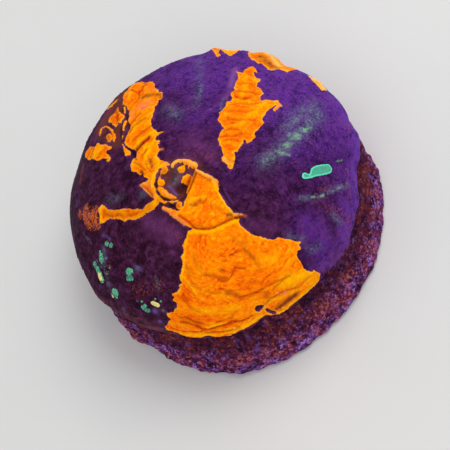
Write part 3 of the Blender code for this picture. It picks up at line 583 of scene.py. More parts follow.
# Green and teal fluorescence in the purple flesh
glowStrokes = [
    ("glow", 0.6, 9.5, 0, (266, 162), (278, 153), (288, 144), (298, 135), (309, 125), (317, 116)),
    ("glow", 0.5, 10, 0, (290, 126), (303, 113), (316, 107)),
    ("glow", 0.95, 6.2, 0.05, (288.6, 145)),
    ("glow", 0.8, 4.4, 0, (289, 136)),
    ("glow", 0.95, 6.2, 0.05, (298, 137.4)),
    ("glow", 0.8, 5.6, 0.05, (305, 130.5), (309, 128.5)),
    ("glow", 0.85, 2.2, 0, (280, 153), (289.6, 155.4)),
    ("glow", 1, 2.2, 0, (312, 198), (314.6, 197.4)),
    ("glow", 1, 2.2, 0, (321.6, 196.6), (324, 195.6)),
    ("glow", 0.8, 1.6, 0, (337, 190), (340, 188)),
    ("glow", 0.9, 1.3, 0, (348, 185.4)),
    # Two darker bands in the purple beside the teal bar
    ("dark", 0.3, 11, 0, (262, 176), (290, 172), (318, 164), (346, 158)),
    ("dark", 0.25, 8, 0, (288, 210), (318, 207), (336, 203)),
    ("glow", 0.55, 3.2, 0, (300, 199.6), (312, 198.6), (322, 196), (336, 189.6), (349, 184.6)),
    ("glow", 0.6, 2.4, 0, (303, 109), (319, 113)),
    ("glow", 1, 1.6, 0, (338, 161.6), (342.4, 160.6)),
    ("glow", 0.45, 5, 0, (341, 222), (334, 216)),
    ("glow", 0.5, 5, 0, (318, 247), (312, 250)),
    ("glow", 0.35, 4, 0, (303, 240), (290, 236)),
    ("glow", 0.3, 6, 0, (200, 60), (199, 80), (197, 104)),
    ("glow", 0.6, 2.6, 0, (201, 86), (200, 95)),
    ("glow", 0.4, 8, 0, (168, 110), (178, 116)),
    ("glow", 0.7, 2.2, 0, (176, 117)),
    ("glow", 0.25, 6, 0, (108, 200), (120, 198)),
    ("glow", 0.35, 5, 0, (143, 195)),
    ("glow", 0.4, 3, 0, (224, 100), (221, 109)),
    ("freckles", 0.9, 7, 0, (322, 204), (334, 208), (344, 216), (350, 226)),
    ("freckles", 0.7, 4.5, 0, (318, 191), (326, 188)),
    ("freckles", 0.9, 4.5, 0, (345, 124), (349, 131)),
    ("freckles", 0.7, 4.5, 0, (347, 170), (349, 184), (351, 198)),
    ("freckles", 0.8, 8, 0, (136, 292), (148, 290), (160, 286)),
    ("freckles", 0.7, 6, 0, (128, 312), (140, 320)),
    ("freckles", 0.6, 5, 0, (186, 150), (200, 152), (212, 158)),
    ("freckles", 0.5, 6, 0, (172, 232), (180, 240)),
    ("mauve", 0.5, 11, 0, (150, 222), (162, 228), (174, 236)),
    ("mauve", 0.35, 12, 0, (214, 152), (200, 148), (190, 140)),
    ("mauve", 0.3, 8, 0, (255, 228), (270, 232)),
    ("mint", 0.75, 2.9, 0.25, (107.2, 244)),
    ("mint", 0.7, 2.7, 0.25, (111.4, 245.8)),
    ("lilac", 0.4, 1.4, 0.1, (102.6, 235.6), (104.6, 236.6)),
    ("lilac", 0.45, 1.2, 0.1, (106.4, 236.4), (110, 240)),
    ("mint", 1, 3.1, 0.3, (101.6, 256.4), (102.4, 259.6)),
    ("mint", 1, 1.3, 0.2, (100.6, 252.2), (101.4, 256), (103, 263)),
    ("glow", 0.9, 1.6, 0.1, (106.4, 258.6)),
    ("mint", 1, 2.8, 0.3, (95.4, 264.4), (98, 269), (100.4, 274), (102.6, 280.4)),
    ("pale", 0.75, 3.2, 0, (100.4, 275.4), (101.6, 279)),
    ("pale", 0.4, 3.4, 0.1, (110, 267.4), (108.4, 273)),
    ("glow", 0.5, 1.2, 0.1, (97.4, 260.6), (100, 264.6), (103.4, 268.4)),
    ("mint", 0.75, 4.4, 0.3, (129.7, 272)),
    ("mint", 0.9, 2.6, 0.3, (129, 278.9), (132, 278.6)),
    ("glow", 0.5, 3.8, 0.15, (137.6, 269.4)),
    ("lilac", 0.35, 1.4, 0.1, (136, 267), (139.4, 267.6), (142, 271.6)),
    ("glow", 0.7, 4.8, 0.2, (115.4, 292.8)),
    ("mint", 1, 3.4, 0.3, (116, 291.4), (117.2, 295)),
    ("pale", 0.6, 1.9, 0.1, (112.6, 294), (113.8, 297.4)),
    ("mint", 0.75, 4, 0.3, (145.4, 307.4)),
    ("mint", 1, 3, 0.3, (148.4, 310.6)),
    ("pale", 0.5, 1.6, 0, (148.8, 310.8)),
    ("pale", 1, 2.6, 0.25, (153.4, 303.6), (157.6, 305.8)),
    ("mint", 0.8, 1.5, 0.15, (155.4, 299.6)),
    ("mint", 0.7, 1.5, 0.15, (161, 302)),
    ("mint", 0.8, 1.4, 0.15, (142.2, 302)),
    ("lilac", 0.6, 1.3, 0.1, (137.6, 301.4)),
    ("glow", 0.8, 2, 0.15, (163.4, 311)),
    ("glow", 0.5, 2, 0.1, (124.5, 308.5), (126.5, 312.5)),
    ("glow", 0.4, 3, 0.1, (157, 279), (158, 289)),
    ("violet", 0.9, 17, 0, (312, 226), (322, 244), (326, 262)),
    ("violet", 0.8, 12, 0, (342, 206), (346, 228), (340, 246)),
    ("violet", 0.5, 16, 0, (196, 72), (208, 88)),
    ("lilac", 0.7, 3.6, 0.1, (155.4, 312)),
    ("lilac", 0.7, 2.4, 0.1, (160.3, 322.3)),
    ("mauve", 0.7, 3.2, 0.1, (172.3, 253)),
    ("lilac", 0.7, 1.5, 0, (210.5, 109.5)),
    ("lilac", 0.9, 1.2, 0.05, (184.5, 154)),
    ("glow", 0.5, 2.4, 0.1, (104, 249), (105, 268), (109, 285)),
]

# Relief of the polyp, in millimetres along its surface
polypLook = {
    "gridCells": 296,
    "lipRows": 6,
    "undersideInset": 0.9,
    "mouthCentre": (-3.6, -0.6),
    "ringRadius": 5.5,
    "ringHeight": 0.55,
    "ringWidth": 1.3,
    "hollowRadius": 3.6,
    "hollowEdge": 1.0,
    "hollowDepth": 1.3,
    "ringPixel": (220, 225),        # what the flesh's wrinkles curve about, and the fan's
    "fanPixel": (229, 236),
    "fanReach": 0.3,                # mm past the fan's outline where its own centre still counts
    "edgeReach": 4.0,               # how far from an outline its distance is kept
    "patchThickness": 0.2,
    "patchEdge": 0.15,
    "patchRag": 0.34,
    "rags": [(1.3, 0.7), (0.6, 0.6)],       # size and reach of the bends in an edge, and in the wrinkles
    "warps": [(6.0, 2.6), (2.1, 1.3), (0.9, 0.45)],
    "grainSize": 0.8,
    "wrinkleHeight": 0.28,
    "wrinkleSpacing": 1.25,
    "wrinkleRun": 5.0,
    "wrinkleCalm": (9.0, 3.5),      # mm out from the centre where they begin, and how fast
    "broadSpacing": 2.2,            # in wrinkle spacings
    "broadShare": 0.9,
    "fineRun": 1.7,
    "fineShare": 0.2,
    "creaseTop": 0.35,
    "creaseDepth": 1.6,
    "fleshHeight": 0.05,
    "plateHeight": 0.45,
    "plateEdge": 0.5,
    "tealSteps": [(0.0, 0.35), (-0.5, -0.12)],      # distance to its outline, height
    "terraces": [                   # sector, reach from the top, height
        ((216.0, 256.0), 43.0, 0.35),
        ((150.0, 200.0), 33.0, 0.30),
        ((155.0, 208.0), 38.0, 0.45),
        ((160.0, 206.0), 42.0, 0.45),
        ((166.0, 204.0), 45.0, 0.35),
        ((6.0, 48.0), 34.0, 0.65),
        ((60.0, 118.0), 37.5, 0.45),
    ],
    "terraceRun": 2.6,
    "terraceSteepness": 0.35,
    "terraceFade": 4.0,
    "terraceWaves": (0.5, 1.2),     # shares of the folds and of the rag in its edge
    "lumps": [                      # place on the map, height, half width
        ((27.6, 29.4), 0.9, 2.4), ((33.0, 22.5), 0.9, 2.8), ((36.6, 11.0), 0.2, 2.6), ((42.0, -0.5), 0.6, 2.4),
        ((-31.0, 13.0), 0.5, 2.8), ((-25.6, 12.8), 0.4, 2.4), ((3.2, 33.2), 0.5, 2.8), ((-4.0, 28.6), 0.5, 2.4),
        ((-8.7, 24.5), 0.4, 2.0), ((6.6, 27.0), 0.4, 2.6), ((1.4, 23.5), 0.4, 2.6), ((-13.3, 24.8), 0.4, 2.6),
    ],
    "rimDips": [(18.5, -1.15, 4.5), (30.5, -0.45, 2.5)],      # direction, height, half width
    "rimDipStart": 31.0,
    "rimDipFade": 2.0,
    "ribSector": (282.0, 352.0),
    "ribSpacing": 9.0,
    "ribHeight": 0.16,
    "ribStart": 14.0,
    "ribEase": 4.0,
    "ribFade": 8.0,
}

fieldNames = [
    "cream", "sun", "blush", "crack", "stain", "shade", "rust", "umber", "dust", "lilac", "mauve", "violet",
    "glow", "freckles", "mint", "pale"]
pixelSize = photoView["distance"] * photoView["sensorWidth"] / photoView["lens"] / photoView["frameSize"]


# Lays the outlines and strokes on the map: the marks of each kind, and the relief they add
def layMarks(u, v):
    def edgeOf(outline):
        return distanceTo(u, v, castPixels(outline), polypLook["edgeReach"], closed=True)

    edges = {name: edgeOf(outline) for name, outline in patchOutlines.items()}
    fields = {name: np.zeros(u.shape) for name in fieldNames}
    fields["fan"] = edges["fan"]
    fields["teal"] = edgeOf(roundedLine(tealBar, True))
    fields["patch"] = np.minimum.reduce(list(edges.values()))
    for outline in patchHoles.values():
        fields["patch"] = np.maximum(fields["patch"], -edgeOf(roundedLine(outline, True)))
    relief = polypLook["plateHeight"] * (1.0 - rise(edges["youngPlate"], 0.0, polypLook["plateEdge"]))
    for kind, strength, halfWidth, height, *pixels in mouthStrokes + fanStrokes + patchStrokes + glowStrokes:
        width = halfWidth * pixelSize
        gap = distanceTo(u, v, castPixels(roundedLine(pixels)), strokeLook["reach"] * width)
        flat = 1.0 - rise(gap, width, strokeLook["flatEdge"] * width)
        mark = flat if kind in strokeLook["flatKinds"] else ridge(gap, width)
        relief += height * mark
        for part in strokeParts.get(kind, (kind,)):
            if part == "patch":
                fields["patch"] = np.minimum(fields["patch"], gap - width)
                for covered in strokeLook["covered"]:
                    fields[covered] *= rise(gap, width, strokeLook["coverEdge"] * width)
            else:
                fields[part] = np.maximum(fields[part], strength * mark)
    return fields, relief


def layeredNoise(place, layers):
    return sum(reach * noise.noise(place / size) for size, reach in layers)


# Wrinkles that curve about a centre: even in the purple flesh, and stronger in the patches
def wrinkles(u, v, fields):
    look = polypLook
    centres = castPixels([look["ringPixel"], look["fanPixel"]])[(fields["fan"] < look["fanReach"]).astype(int)]
    x, y = u - centres[:, 0], v - centres[:, 1]
    out = np.hypot(x, y)
    places = np.empty((len(u), 3))
    folds, grain, rag = np.empty(u.shape), np.empty(u.shape), np.empty(u.shape)
    for i in range(len(u)):
        place = Vector((u[i], v[i], 2.0))
        ring = Vector((
            out[i] + layeredNoise(place, look["warps"]), x[i] / look["wrinkleRun"], y[i] / look["wrinkleRun"]))
        places[i] = ring
        across = ring.x / look["wrinkleSpacing"]
        broad = noise.noise(Vector((across / look["broadSpacing"], ring.y, ring.z)))
        fine = noise.noise(Vector((across, look["fineRun"] * ring.y, look["fineRun"] * ring.z)))
        crease = look["creaseTop"] - look["creaseDepth"] * abs(fine)
        folds[i] = look["broadShare"] * broad + crease + look["fineShare"] * fine
        grain[i] = noise.noise(place / look["grainSize"])
        rag[i] = layeredNoise(place, look["rags"])
    calm = rise(out, *look["wrinkleCalm"])
    return folds * calm + grain * (1.0 - calm), grain, rag, places


def polypRelief(u, v):
    look = polypLook
    arc, azimuth = np.hypot(u, v), np.degrees(np.arctan2(v, u))
    fields, relief = layMarks(u, v)
    folds, grain, rag, rings = wrinkles(u, v, fields)
    fields["patch"] += look["patchRag"] * rag
    fields["fold"] = folds
    onPatch = 1.0 - rise(fields["patch"], 0.0, look["patchEdge"])
    relief += onPatch * (look["patchThickness"] + look["wrinkleHeight"] * folds)
    relief += (1.0 - onPatch) * look["fleshHeight"] * (folds + grain)
    for edge, height in look["tealSteps"]:
        relief += height * (1.0 - rise(fields["teal"], edge, look["patchEdge"]))
    fromMouth = np.hypot(u - look["mouthCentre"][0], v - look["mouthCentre"][1])
    relief += look["ringHeight"] * ridge(fromMouth - look["ringRadius"], look["ringWidth"])
    relief -= look["hollowDepth"] * (1.0 - rise(fromMouth, look["hollowRadius"], look["hollowEdge"]))
    wavy = arc + look["terraceWaves"][0] * folds + look["terraceWaves"][1] * rag
    for sector, reach, height in look["terraces"]:
        tread = np.exp(np.minimum(wavy - reach, 0.0) / look["terraceRun"])
        drop = 1.0 - rise(wavy, reach, look["terraceSteepness"])
        relief += height * tread * drop * withinSector(azimuth, sector, look["terraceFade"])
    for (lumpU, lumpV), height, width in look["lumps"]:
        relief += height * ridge(np.hypot(u - lumpU, v - lumpV), width)
    relief += lobes(azimuth, look["rimDips"]) * rise(arc, look["rimDipStart"], look["rimDipFade"])
    wave = np.cos(2.0 * math.pi * angleFrom(azimuth, look["ribSector"][0]) / look["ribSpacing"])
    ribbed = withinSector(azimuth, look["ribSector"], look["ribFade"]) * rise(arc, look["ribStart"], look["ribEase"])
    return fields, relief + look["ribHeight"] * wave * ribbed, rings


# Makes a mesh of the body, with its open edges closed
def meshOf(body, name, openEdges=()):
    if openEdges:
        bmesh.ops.holes_fill(body, edges=openEdges, sides=0)
        bmesh.ops.recalc_face_normals(body, faces=body.faces)
    mesh = bpy.data.meshes.new(name)
    body.to_mesh(mesh)
    body.free()
    return mesh


# A square grid whose outer rows become the lip and the underside
def polypGrid():
    body = bmesh.new()
    cells = polypLook["gridCells"]
    bmesh.ops.create_grid(body, x_segments=cells, y_segments=cells, size=1.0)
    edges = [edge for edge in body.edges if edge.is_boundary]
    for _ in range(polypLook["lipRows"] + 1):
        grown = bmesh.ops.extrude_edge_only(body, edges=edges)["geom"]
        bmesh.ops.translate(
            body, vec=(0.0, 0.0, -1.0), verts=[item for item in grown if isinstance(item, bmesh.types.BMVert)])
        edges = [item for item in grown if isinstance(item, bmesh.types.BMEdge) and item.is_boundary]
    return meshOf(body, "polypBody", edges)


def meshPoints(mesh):
    flat = np.empty(len(mesh.vertices) * 3)
    mesh.vertices.foreach_get("co", flat)
    return flat.reshape(-1, 3)


# Wraps the square evenly on the round map
def squareToMap(x, y):
    wide = np.abs(x) >= np.abs(y)
    longer, shorter = np.where(wide, x, y), np.where(wide, y, x)
    turn = math.pi / 4 * shorter / np.where(longer == 0.0, 1.0, longer)
    along, across = longer * edgeArc * np.cos(turn), longer * edgeArc * np.sin(turn)
    return np.where(wide, along, across), np.where(wide, across, along)


# Moves the mesh to its points and gives it its fields, of one or three values at each
def newPiece(name, mesh, material, points=None, fields=None):
    if points is not None:
        mesh.vertices.foreach_set("co", (points * mm).ravel())
    for label, values in (fields or {}).items():
        kind, part = ("FLOAT", "value") if values.ndim == 1 else ("FLOAT_VECTOR", "vector")
        field = mesh.attributes.new(label, kind, "POINT")
        field.data.foreach_set(part, values.astype(np.float32).ravel())
    mesh.update()
    mesh.materials.clear()
    mesh.materials.append(material)
    mesh.shade_smooth()
    piece = bpy.data.objects.new(name, mesh)
    bpy.context.scene.collection.objects.link(piece)
    return piece


def buildPolyp(material):
    mesh = polypGrid()
    grid = meshPoints(mesh)
    u, v = squareToMap(grid[:, 0], grid[:, 1])
    fields, relief, rings = polypRelief(u, v)
    row = -grid[:, 2]
    turn = np.minimum(row / polypLook["lipRows"], 1.0) * math.pi / 2
    inward = np.where(row > polypLook["lipRows"], polypLook["undersideInset"], 1.0)
    points = placeOnDome(u, v, relief * np.cos(turn), turn, inward)
    del fields["fan"]       # only the wrinkles need it
    fields |= {"mapPlace": np.stack([u, v, row], axis=-1), "ringPlace": rings * mm}
    return newPiece("polypBody", mesh, material, points, fields)


# The crusted wall of the skeleton, in millimetres
crustLook = {
    "wall": [
        (34.8, 14.2), (36.2, 13.6), (36.8, 12.2), (37.1, 10.6), (37.5, 9.0), (37.9, 7.3), (38.3, 5.6),
        (38.7, 3.9), (38.9, 2.2), (38.8, 0.9), (38.0, 0.0)],
    "footLobes": [
        (198.0, -1.2, 8.0), (232.0, 0.6, 12.0), (250.0, 0.6, 8.0), (267.0, -0.3, 10.0), (346.0, -0.8, 11.0)],
    "rows": 64,
    "steps": 820,
    "broadHeight": 0.9,
    "broadSize": 5.0,
    "knobHeight": 1.1,
    "knobSize": 2.4,
    "knobMiddle": 0.25,
    "knobShift": (7.0, 3.0, 5.0),
    "fade": 1.6,
    "atEnds": 0.15,
    "granules": [(1.5, 0.42), (0.8, 0.26)],      # size and height
    "granuleTop": 0.5,
    "granuleMiddle": 0.35,
}


def crustGrid():
    wall = np.array(crustLook["wall"])
    along = np.concatenate([[0.0], np.cumsum(np.hypot(*np.diff(wall, axis=0).T))])
    reach = np.linspace(0.0, along[-1], crustLook["rows"] + 1)
    radii, levels = np.interp(reach, along, wall[:, 0]), np.interp(reach, along, wall[:, 1])
    body = bmesh.new()
    verts = [body.verts.new((radius, 0.0, level)) for radius, level in zip(radii, levels)]
    edges = [body.edges.new(pair) for pair in zip(verts, verts[1:])]
    bmesh.ops.spin(
        body, geom=verts + edges, cent=(0, 0, 0), axis=(0, 0, 1), dvec=(0, 0, 0), angle=2 * math.pi,
        steps=crustLook["steps"], use_merge=True)
    bmesh.ops.remove_doubles(body, verts=body.verts, dist=0.0001)
    return meshOf(body, "skeletonCrust", [edge for edge in body.edges if edge.is_boundary])


def crustRelief(points):
    look = crustLook
    shift = Vector(look["knobShift"])
    broad, grit = np.empty(len(points)), np.empty(len(points))
    for i, point in enumerate(points):
        place = Vector(point)
        knob = abs(noise.noise(place / look["knobSize"] + shift))
        wave = noise.noise(place / look["broadSize"])
        broad[i] = look["broadHeight"] * wave + look["knobHeight"] * (knob - look["knobMiddle"])
        grit[i] = 0.0
        for size, tall in look["granules"]:
            gaps = noise.voronoi(place / size)[0]
            grit[i] += tall * (min(gaps[1] - gaps[0], look["granuleTop"]) - look["granuleMiddle"])
    return broad, grit


def buildSkeleton(material):
    mesh = crustGrid()
    grid = meshPoints(mesh)
    top, bottom = crustLook["wall"][0][1], crustLook["wall"][-1][1]
    radius, azimuth, level = np.hypot(grid[:, 0], grid[:, 1]), np.arctan2(grid[:, 1], grid[:, 0]), grid[:, 2]
    share = (level - bottom) / (top - bottom)
    offEnds = np.clip(np.minimum(level - bottom, top - level) / crustLook["fade"], crustLook["atEnds"], 1.0)
    broad, grit = crustRelief(grid)
    underLip = lobes(np.degrees(azimuth), coralForm["edgeLobes"]) * share ** 2
    foot = lobes(np.degrees(azimuth), crustLook["footLobes"]) * (1.0 - share ** 2)
    reach = radius + (broad + grit) * offEnds + underLip + foot
    points = aroundAxis(reach, azimuth, share, level)
    return newPiece("skeletonCrust", mesh, material, points, {"grit": grit, "level": level})


# A socket that can be used in sums
class Wire:
    def __init__(self, bench, socket):
        self.bench, self.socket = bench, socket

    def calc(self, operation, *others):
        return self.bench.maths(operation, self, *others)

    def __add__(self, other):
        return self.calc("ADD", other)

    def __sub__(self, other):
        return self.calc("SUBTRACT", other)

    def __rsub__(self, other):
        return self.bench.maths("SUBTRACT", other, self)

    def __mul__(self, other):
        return self.calc("MULTIPLY", other)

    def atMost(self, other):
        return self.calc("MINIMUM", other)

    __radd__, __rmul__ = __add__, __mul__


# Adds the nodes of one material. A colour is a wire, a name in the bench's colours or screen values.
class Bench:
    def __init__(self, name, colours=None, grains=None, layers=None):
        self.material = bpy.data.materials.new(name)
        self.material.use_nodes = True
        self.tree, self.colours, self.grains = self.material.node_tree, colours or {}, grains or {}
        self.layers, self.shader = layers or {}, self.tree.nodes["Principled BSDF"]

    def add(self, kind, settings=None, values=None, output=0):
        node = self.tree.nodes.new(kind)
        for name, value in (settings or {}).items():
            if name == "stops":
                self.setStops(node.color_ramp, value)
            else:
                setattr(node, name, value)
        for name, value in (values or {}).items():
            self.feed(node.inputs[name], value)
        return Wire(self, node.outputs[output])

    def maths(self, operation, *values):
        return self.add("ShaderNodeMath", {"operation": operation}, dict(enumerate(values)))

    def feed(self, socket, value):
        if isinstance(value, Wire):
            self.tree.links.new(value.socket, socket)
        else:
            socket.default_value = value

    def colour(self, value):
        return value if isinstance(value, Wire) else rgb(self.colours.get(value, value))

    def setStops(self, ramp, stops):
        while len(ramp.elements) < len(stops):
            ramp.elements.new(1.0)
        for element, (position, colour) in zip(ramp.elements, stops):
            element.position, element.color = position, self.colour(colour)

    def ramp(self, factor, *stops):
        return self.add("ShaderNodeValToRGB", {"stops": stops}, {"Fac": factor})

    def blend(self, factor, first, second):
        sides = {0: factor, 6: self.colour(first), 7: self.colour(second)}
        return self.add("ShaderNodeMix", {"data_type": "RGBA"}, sides, 2)

    # Lays colours over the first, each where its factor says
    def paint(self, first, *layers):
        for factor, colour in layers:
            first = self.blend(factor, first, colour)
        return first

    def output(self, wire, index):
        return Wire(self, wire.socket.node.outputs[index])

    def field(self, name, output=2):
        return self.add("ShaderNodeAttribute", {"attribute_name": name}, output=output)

    def step(self, value, low, high):
        return self.add("ShaderNodeMapRange", {"interpolation_type": "SMOOTHSTEP"},
                        {"Value": value, "From Min": low, "From Max": high, "To Min": 0.0, "To Max": 1.0})

    def layer(self, name, value):
        low, high, strength = self.layers[name]
        return self.step(value, low, high) * strength

    def noise(self, place, size, detail, roughness=0.5):
        return self.add("ShaderNodeTexNoise", {"noise_dimensions": "3D"}, {
            "Vector": place, "Scale": 1.0 / (size * mm), "Detail": detail, "Roughness": roughness, "Distortion": 0.0})

    def noises(self, place, *names):
        return [self.noise(place, *self.grains[name]) for name in names]

    # Feeds the shader, and returns the material. The base colour is also fed to the emission: a painted glow that
    # evens out the shading.
    def finish(self, colour, unevenness, height, look):
        bump = self.add("ShaderNodeBump", {}, {
            "Height": height, "Strength": look["bumpStrength"], "Distance": look["bumpDistance"] * mm})
        sockets = {
            "Base Color": colour, "Emission Color": colour, "Emission Strength": look["paintedGlowStrength"],
            "Specular IOR Level": look["specular"], "Normal": bump,
            "Roughness": look["roughness"] + (unevenness - 0.5) * look["unevenness"]}
        for name, value in sockets.items():
            self.feed(self.shader.inputs[name], value)
        return self.material


# A colour from 0-255 screen values
def rgb(colour):
    return (*(((c / 255.0 + 0.055) / 1.055) ** 2.4 if c > 10 else c / 255.0 / 12.92 for c in colour), 1.0)


fleshColours = {
    "left": (46, 15, 34), "plum": (55, 18, 58), "purple": (62, 22, 82), "violet": (76, 31, 116),
    "rim": (90, 41, 140), "deep": (20, 3, 20), "leftHaze": (92, 38, 74), "haze": (98, 48, 118),
    "leftRim": (116, 58, 62), "rightRim": (106, 56, 176), "orangeDeep": (208, 60, 0), "orange": (250, 112, 0),
    "orangeLight": (255, 150, 0), "sun": (255, 190, 0), "cream": (255, 192, 92), "blush": (236, 128, 84),
    "crack": (150, 24, 2), "stain": (176, 74, 4), "shade": (26, 5, 12), "rust": (116, 56, 24),
    "umber": (96, 46, 36), "lilac": (116, 88, 164), "mauve": (124, 62, 122), "glow": (122, 170, 132),
    "glowDim": (100, 108, 130), "mintDeep": (60, 124, 110), "mint": (106, 196, 148), "pale": (238, 220, 140),
    "teal": (66, 162, 130), "tealEdge": (96, 220, 176), "freckle": (146, 62, 58), "dot": (132, 84, 172),
    "dust": (204, 96, 32), "underDust": (60, 24, 22), "spark": (255, 214, 90),
}
fleshGrain = {          # size in mm, detail, roughness
    "cloud": (11.0, 2.0, 0.5), "mottle": (2.4, 4.0, 0.65), "fleck": (0.95, 3.0, 0.65), "grain": (0.42, 3.0, 0.6),
    "wave": (1.2, 4.0, 0.6), "fibre": (0.4, 3.0, 0.6), "thread": (0.2, 2.0, 0.6),
}
fleshLayers = {         # the values where a layer begins and is full, and its strength
    "darkRings": (0.52, 0.36, 0.85), "hazeRings": (0.5, 0.66, 0.6), "violetRings": (0.3, 0.6, 0.9),
    "darkMottle": (0.48, 0.3, 0.5), "dots": (0.6, 0.7, 0.6), "dotSide": (0.4, 0.7, 1.0),
    "rimTint": (0.4, 0.6, 0.65), "wear": (0.35, 0.6, 0.25), "underDust": (0.1, 0.6, 0.7),
    "dustGrains": (0.54, 0.62, 0.9), "dustReach": (0.75, 0.95, 1.0), "fringe": (0.7, 0.1, 0.4),
    "fringeMottle": (0.4, 0.6, 1.0), "fineSpeckle": (0.45, 0.6, 0.75), "broadSpeckle": (0.4, 0.6, 0.25),
    "brightGlow": (0.42, 0.95, 1.0), "freckles": (0.53, 0.63, 0.8), "creases": (0.035, 0.005, 0.45),
    "creaseMottle": (0.44, 0.6, 1.0), "highlightBorder": (-0.7, -0.1, 0.6), "highlightMottle": (0.3, 0.6, 1.0),
    "sparks": (0.66, 0.74, 0.5), "rustFlecks": (0.6, 0.4, 0.4), "blushBorder": (-0.22, -0.02, 0.6),
    "blushMottle": (0.45, 0.6, 1.0), "patch": (0.05, -0.05, 1.0), "mint": (0.34, 0.5, 0.85),
    "mintGrain": (0.44, 0.58, 1.0), "pale": (0.4, 0.6, 1.0), "tealEdge": (0.1, 0.0, 1.0),
    "teal": (-0.2, -0.4, 0.9), "tealDim": (0.5, 0.62, 0.6),
}
fleshFinish = {
    "roughness": 0.6,
    "unevenness": 0.2,
    "specular": 0.03,
    # emission of the base colour: a painted glow that flattens the shading
    "paintedGlowStrength": 0.27,
    "bumpStrength": 0.5,
    "bumpDistance": 0.3,
    "rimReach": (39.0, 46.0),       # mm from the top where the tint of the rim comes in
    # the brightening to one side is partly painted light
    "sideTurn": 0.3,                # how the purple brightens across the map, in mm
    "sideReach": 60.0,
    "sideStart": 0.35,
}


def fleshMaterial():
    bench, look = Bench("fluorescentFlesh", fleshColours, fleshGrain, fleshLayers), fleshFinish
    layer, field = bench.layer, bench.field
    place = bench.add("ShaderNodeTexCoord", output=3)
    rings, mapPlace = field("ringPlace", 1), field("mapPlace", 1)
    mapU = bench.add("ShaderNodeSeparateXYZ", {}, {0: mapPlace})
    mapV = bench.output(mapU, 1)
    outward = bench.add("ShaderNodeVectorMath", {"operation": "LENGTH"}, {0: mapPlace}, 1)
    cloud, mottle, fleck, grain = bench.noises(place, "cloud", "mottle", "fleck", "grain")
    wave, fibre, thread = bench.noises(rings, "wave", "fibre", "thread")
    offCloud, offMottle, offFleck, offGrain = (each - 0.5 for each in (cloud, mottle, fleck, grain))

    # Purple flesh: brighter to one side, partly its own tint and partly painted light falling from that side, with
    # fine rings, haze and small light dots
    side = (mapU + mapV * look["sideTurn"]) * (1.0 / look["sideReach"]) + look["sideStart"]
    side = side + offCloud * 0.4 + offMottle * 0.2
    streak = fibre * 0.45 + thread * 0.3 + grain * 0.25
    worn = layer("wear", fleck) + 0.75
    dusty, glow = field("dust"), field("glow")
    edge = field("patch") + offFleck * 0.5 + offGrain * 0.5
    speckle = layer("fineSpeckle", fleck * 0.5 + grain * 0.5) + layer("broadSpeckle", mottle)
    light = bench.blend(layer("brightGlow", glow + offMottle * 0.7), "glowDim", "glow")
    purple = bench.paint(
        bench.ramp(side, (0.1, "left"), (0.42, "plum"), (0.54, "purple"), (0.7, "violet"), (0.95, "rim")),
        (layer("darkRings", streak), "deep"),
        (layer("hazeRings", streak), bench.ramp(side, (0.3, "leftHaze"), (0.7, "haze"))),
        (layer("violetRings", streak) * field("violet"), "rim"),
        (layer("darkMottle", mottle), "deep"),
        (layer("dots", grain) * layer("dotSide", side), "dot"),
        (field("mauve") * (fleck * 0.9 + 0.2), "mauve"),
        (layer("rimTint", fleck * 0.5 + mottle * 0.5) * bench.step(outward, *look["rimReach"]),
         bench.ramp(side, (0.1, "leftRim"), (0.5, "rightRim"))),
        ((field("blush") * worn * 0.6).atMost(0.95), "blush"),
        ((field("umber") * worn).atMost(0.95), "umber"),
        (layer("underDust", dusty), "underDust"),
        (layer("dustGrains", fibre * 0.5 + grain * 0.5 + dusty * 0.1) * layer("dustReach", dusty + fleck), "dust"),
        (layer("fringe", edge) * layer("fringeMottle", mottle), "mauve"),
        ((glow * (speckle * 1.4 + glow * 0.4)).atMost(0.9), light),
        (layer("freckles", grain + offFleck * 0.5) * field("freckles"), "freckle"))

    # Orange patches: painted light on the folds and painted shade in the creases
    tone = field("fold") * 0.2 + 0.52 + (fibre - 0.5) * 0.8 + (wave - 0.5) * 0.6 + offFleck * 0.7
    tone = tone + offMottle * 0.4 + offCloud * 0.5 + offGrain * 0.5
    crease = layer("creases", (wave - 0.5).calc("ABSOLUTE")) * layer("creaseMottle", mottle + offCloud)
    uneven = offFleck * 1.2 + 0.75
    # The dark red seams in the grooves are partly painted shade
    marks = (("sun", 1.0), ("cream", 1.0), ("blush", 0.95), ("stain", 1.1), ("crack", 1.2))
    orange = bench.paint(
        bench.ramp(tone, (0.12, "orangeDeep"), (0.4, "orange"), (0.7, "orangeLight"), (0.95, "sun")),
        (crease, "orangeDeep"),
        # Painted highlight: bright yellow along the ridges and rims of the patches and inside their raised edges
        (layer("highlightBorder", edge) * layer("highlightMottle", mottle), "sun"),
        *(((field(name) * uneven * share).atMost(1.0), name) for name, share in marks),
        (layer("sparks", grain), "spark"),
        ((field("rust") * (layer("rustFlecks", fleck) + 0.6) * 0.9).atMost(0.95), "rust"),
        (layer("blushBorder", edge) * layer("blushMottle", mottle), "blush"))

    # Over both: spots, and the teal bar with its light edge
    ragged = (offFleck * 0.9 + offGrain * 0.6) * 0.8
    green = bench.blend(layer("mintGrain", fleck * 0.4 + grain * 0.6), "mintDeep", "mint")
    tealEdge = field("teal") + offGrain * 0.35 + offFleck * 0.25
    colour = bench.paint(
        purple,
        (layer("patch", edge), orange),
        (field("lilac") * 0.9, "lilac"),
        # Painted shade where the dark strokes lie: in the mouth's hollow, along creases and crevices and in the holes
        # of the patches
        (field("shade") * 0.95, "shade"),
        (layer("mint", field("mint") + ragged), green),
        (layer("pale", field("pale") + ragged) * (fleck + 0.4), "pale"),
        (layer("tealEdge", tealEdge), "tealEdge"),
        (layer("teal", tealEdge), bench.blend(layer("tealDim", fleck), "teal", "glowDim")))
    return bench.finish(colour, mottle, grain * 0.8 + fleck * 0.5 + fibre * 0.5 + thread * 0.4, look)


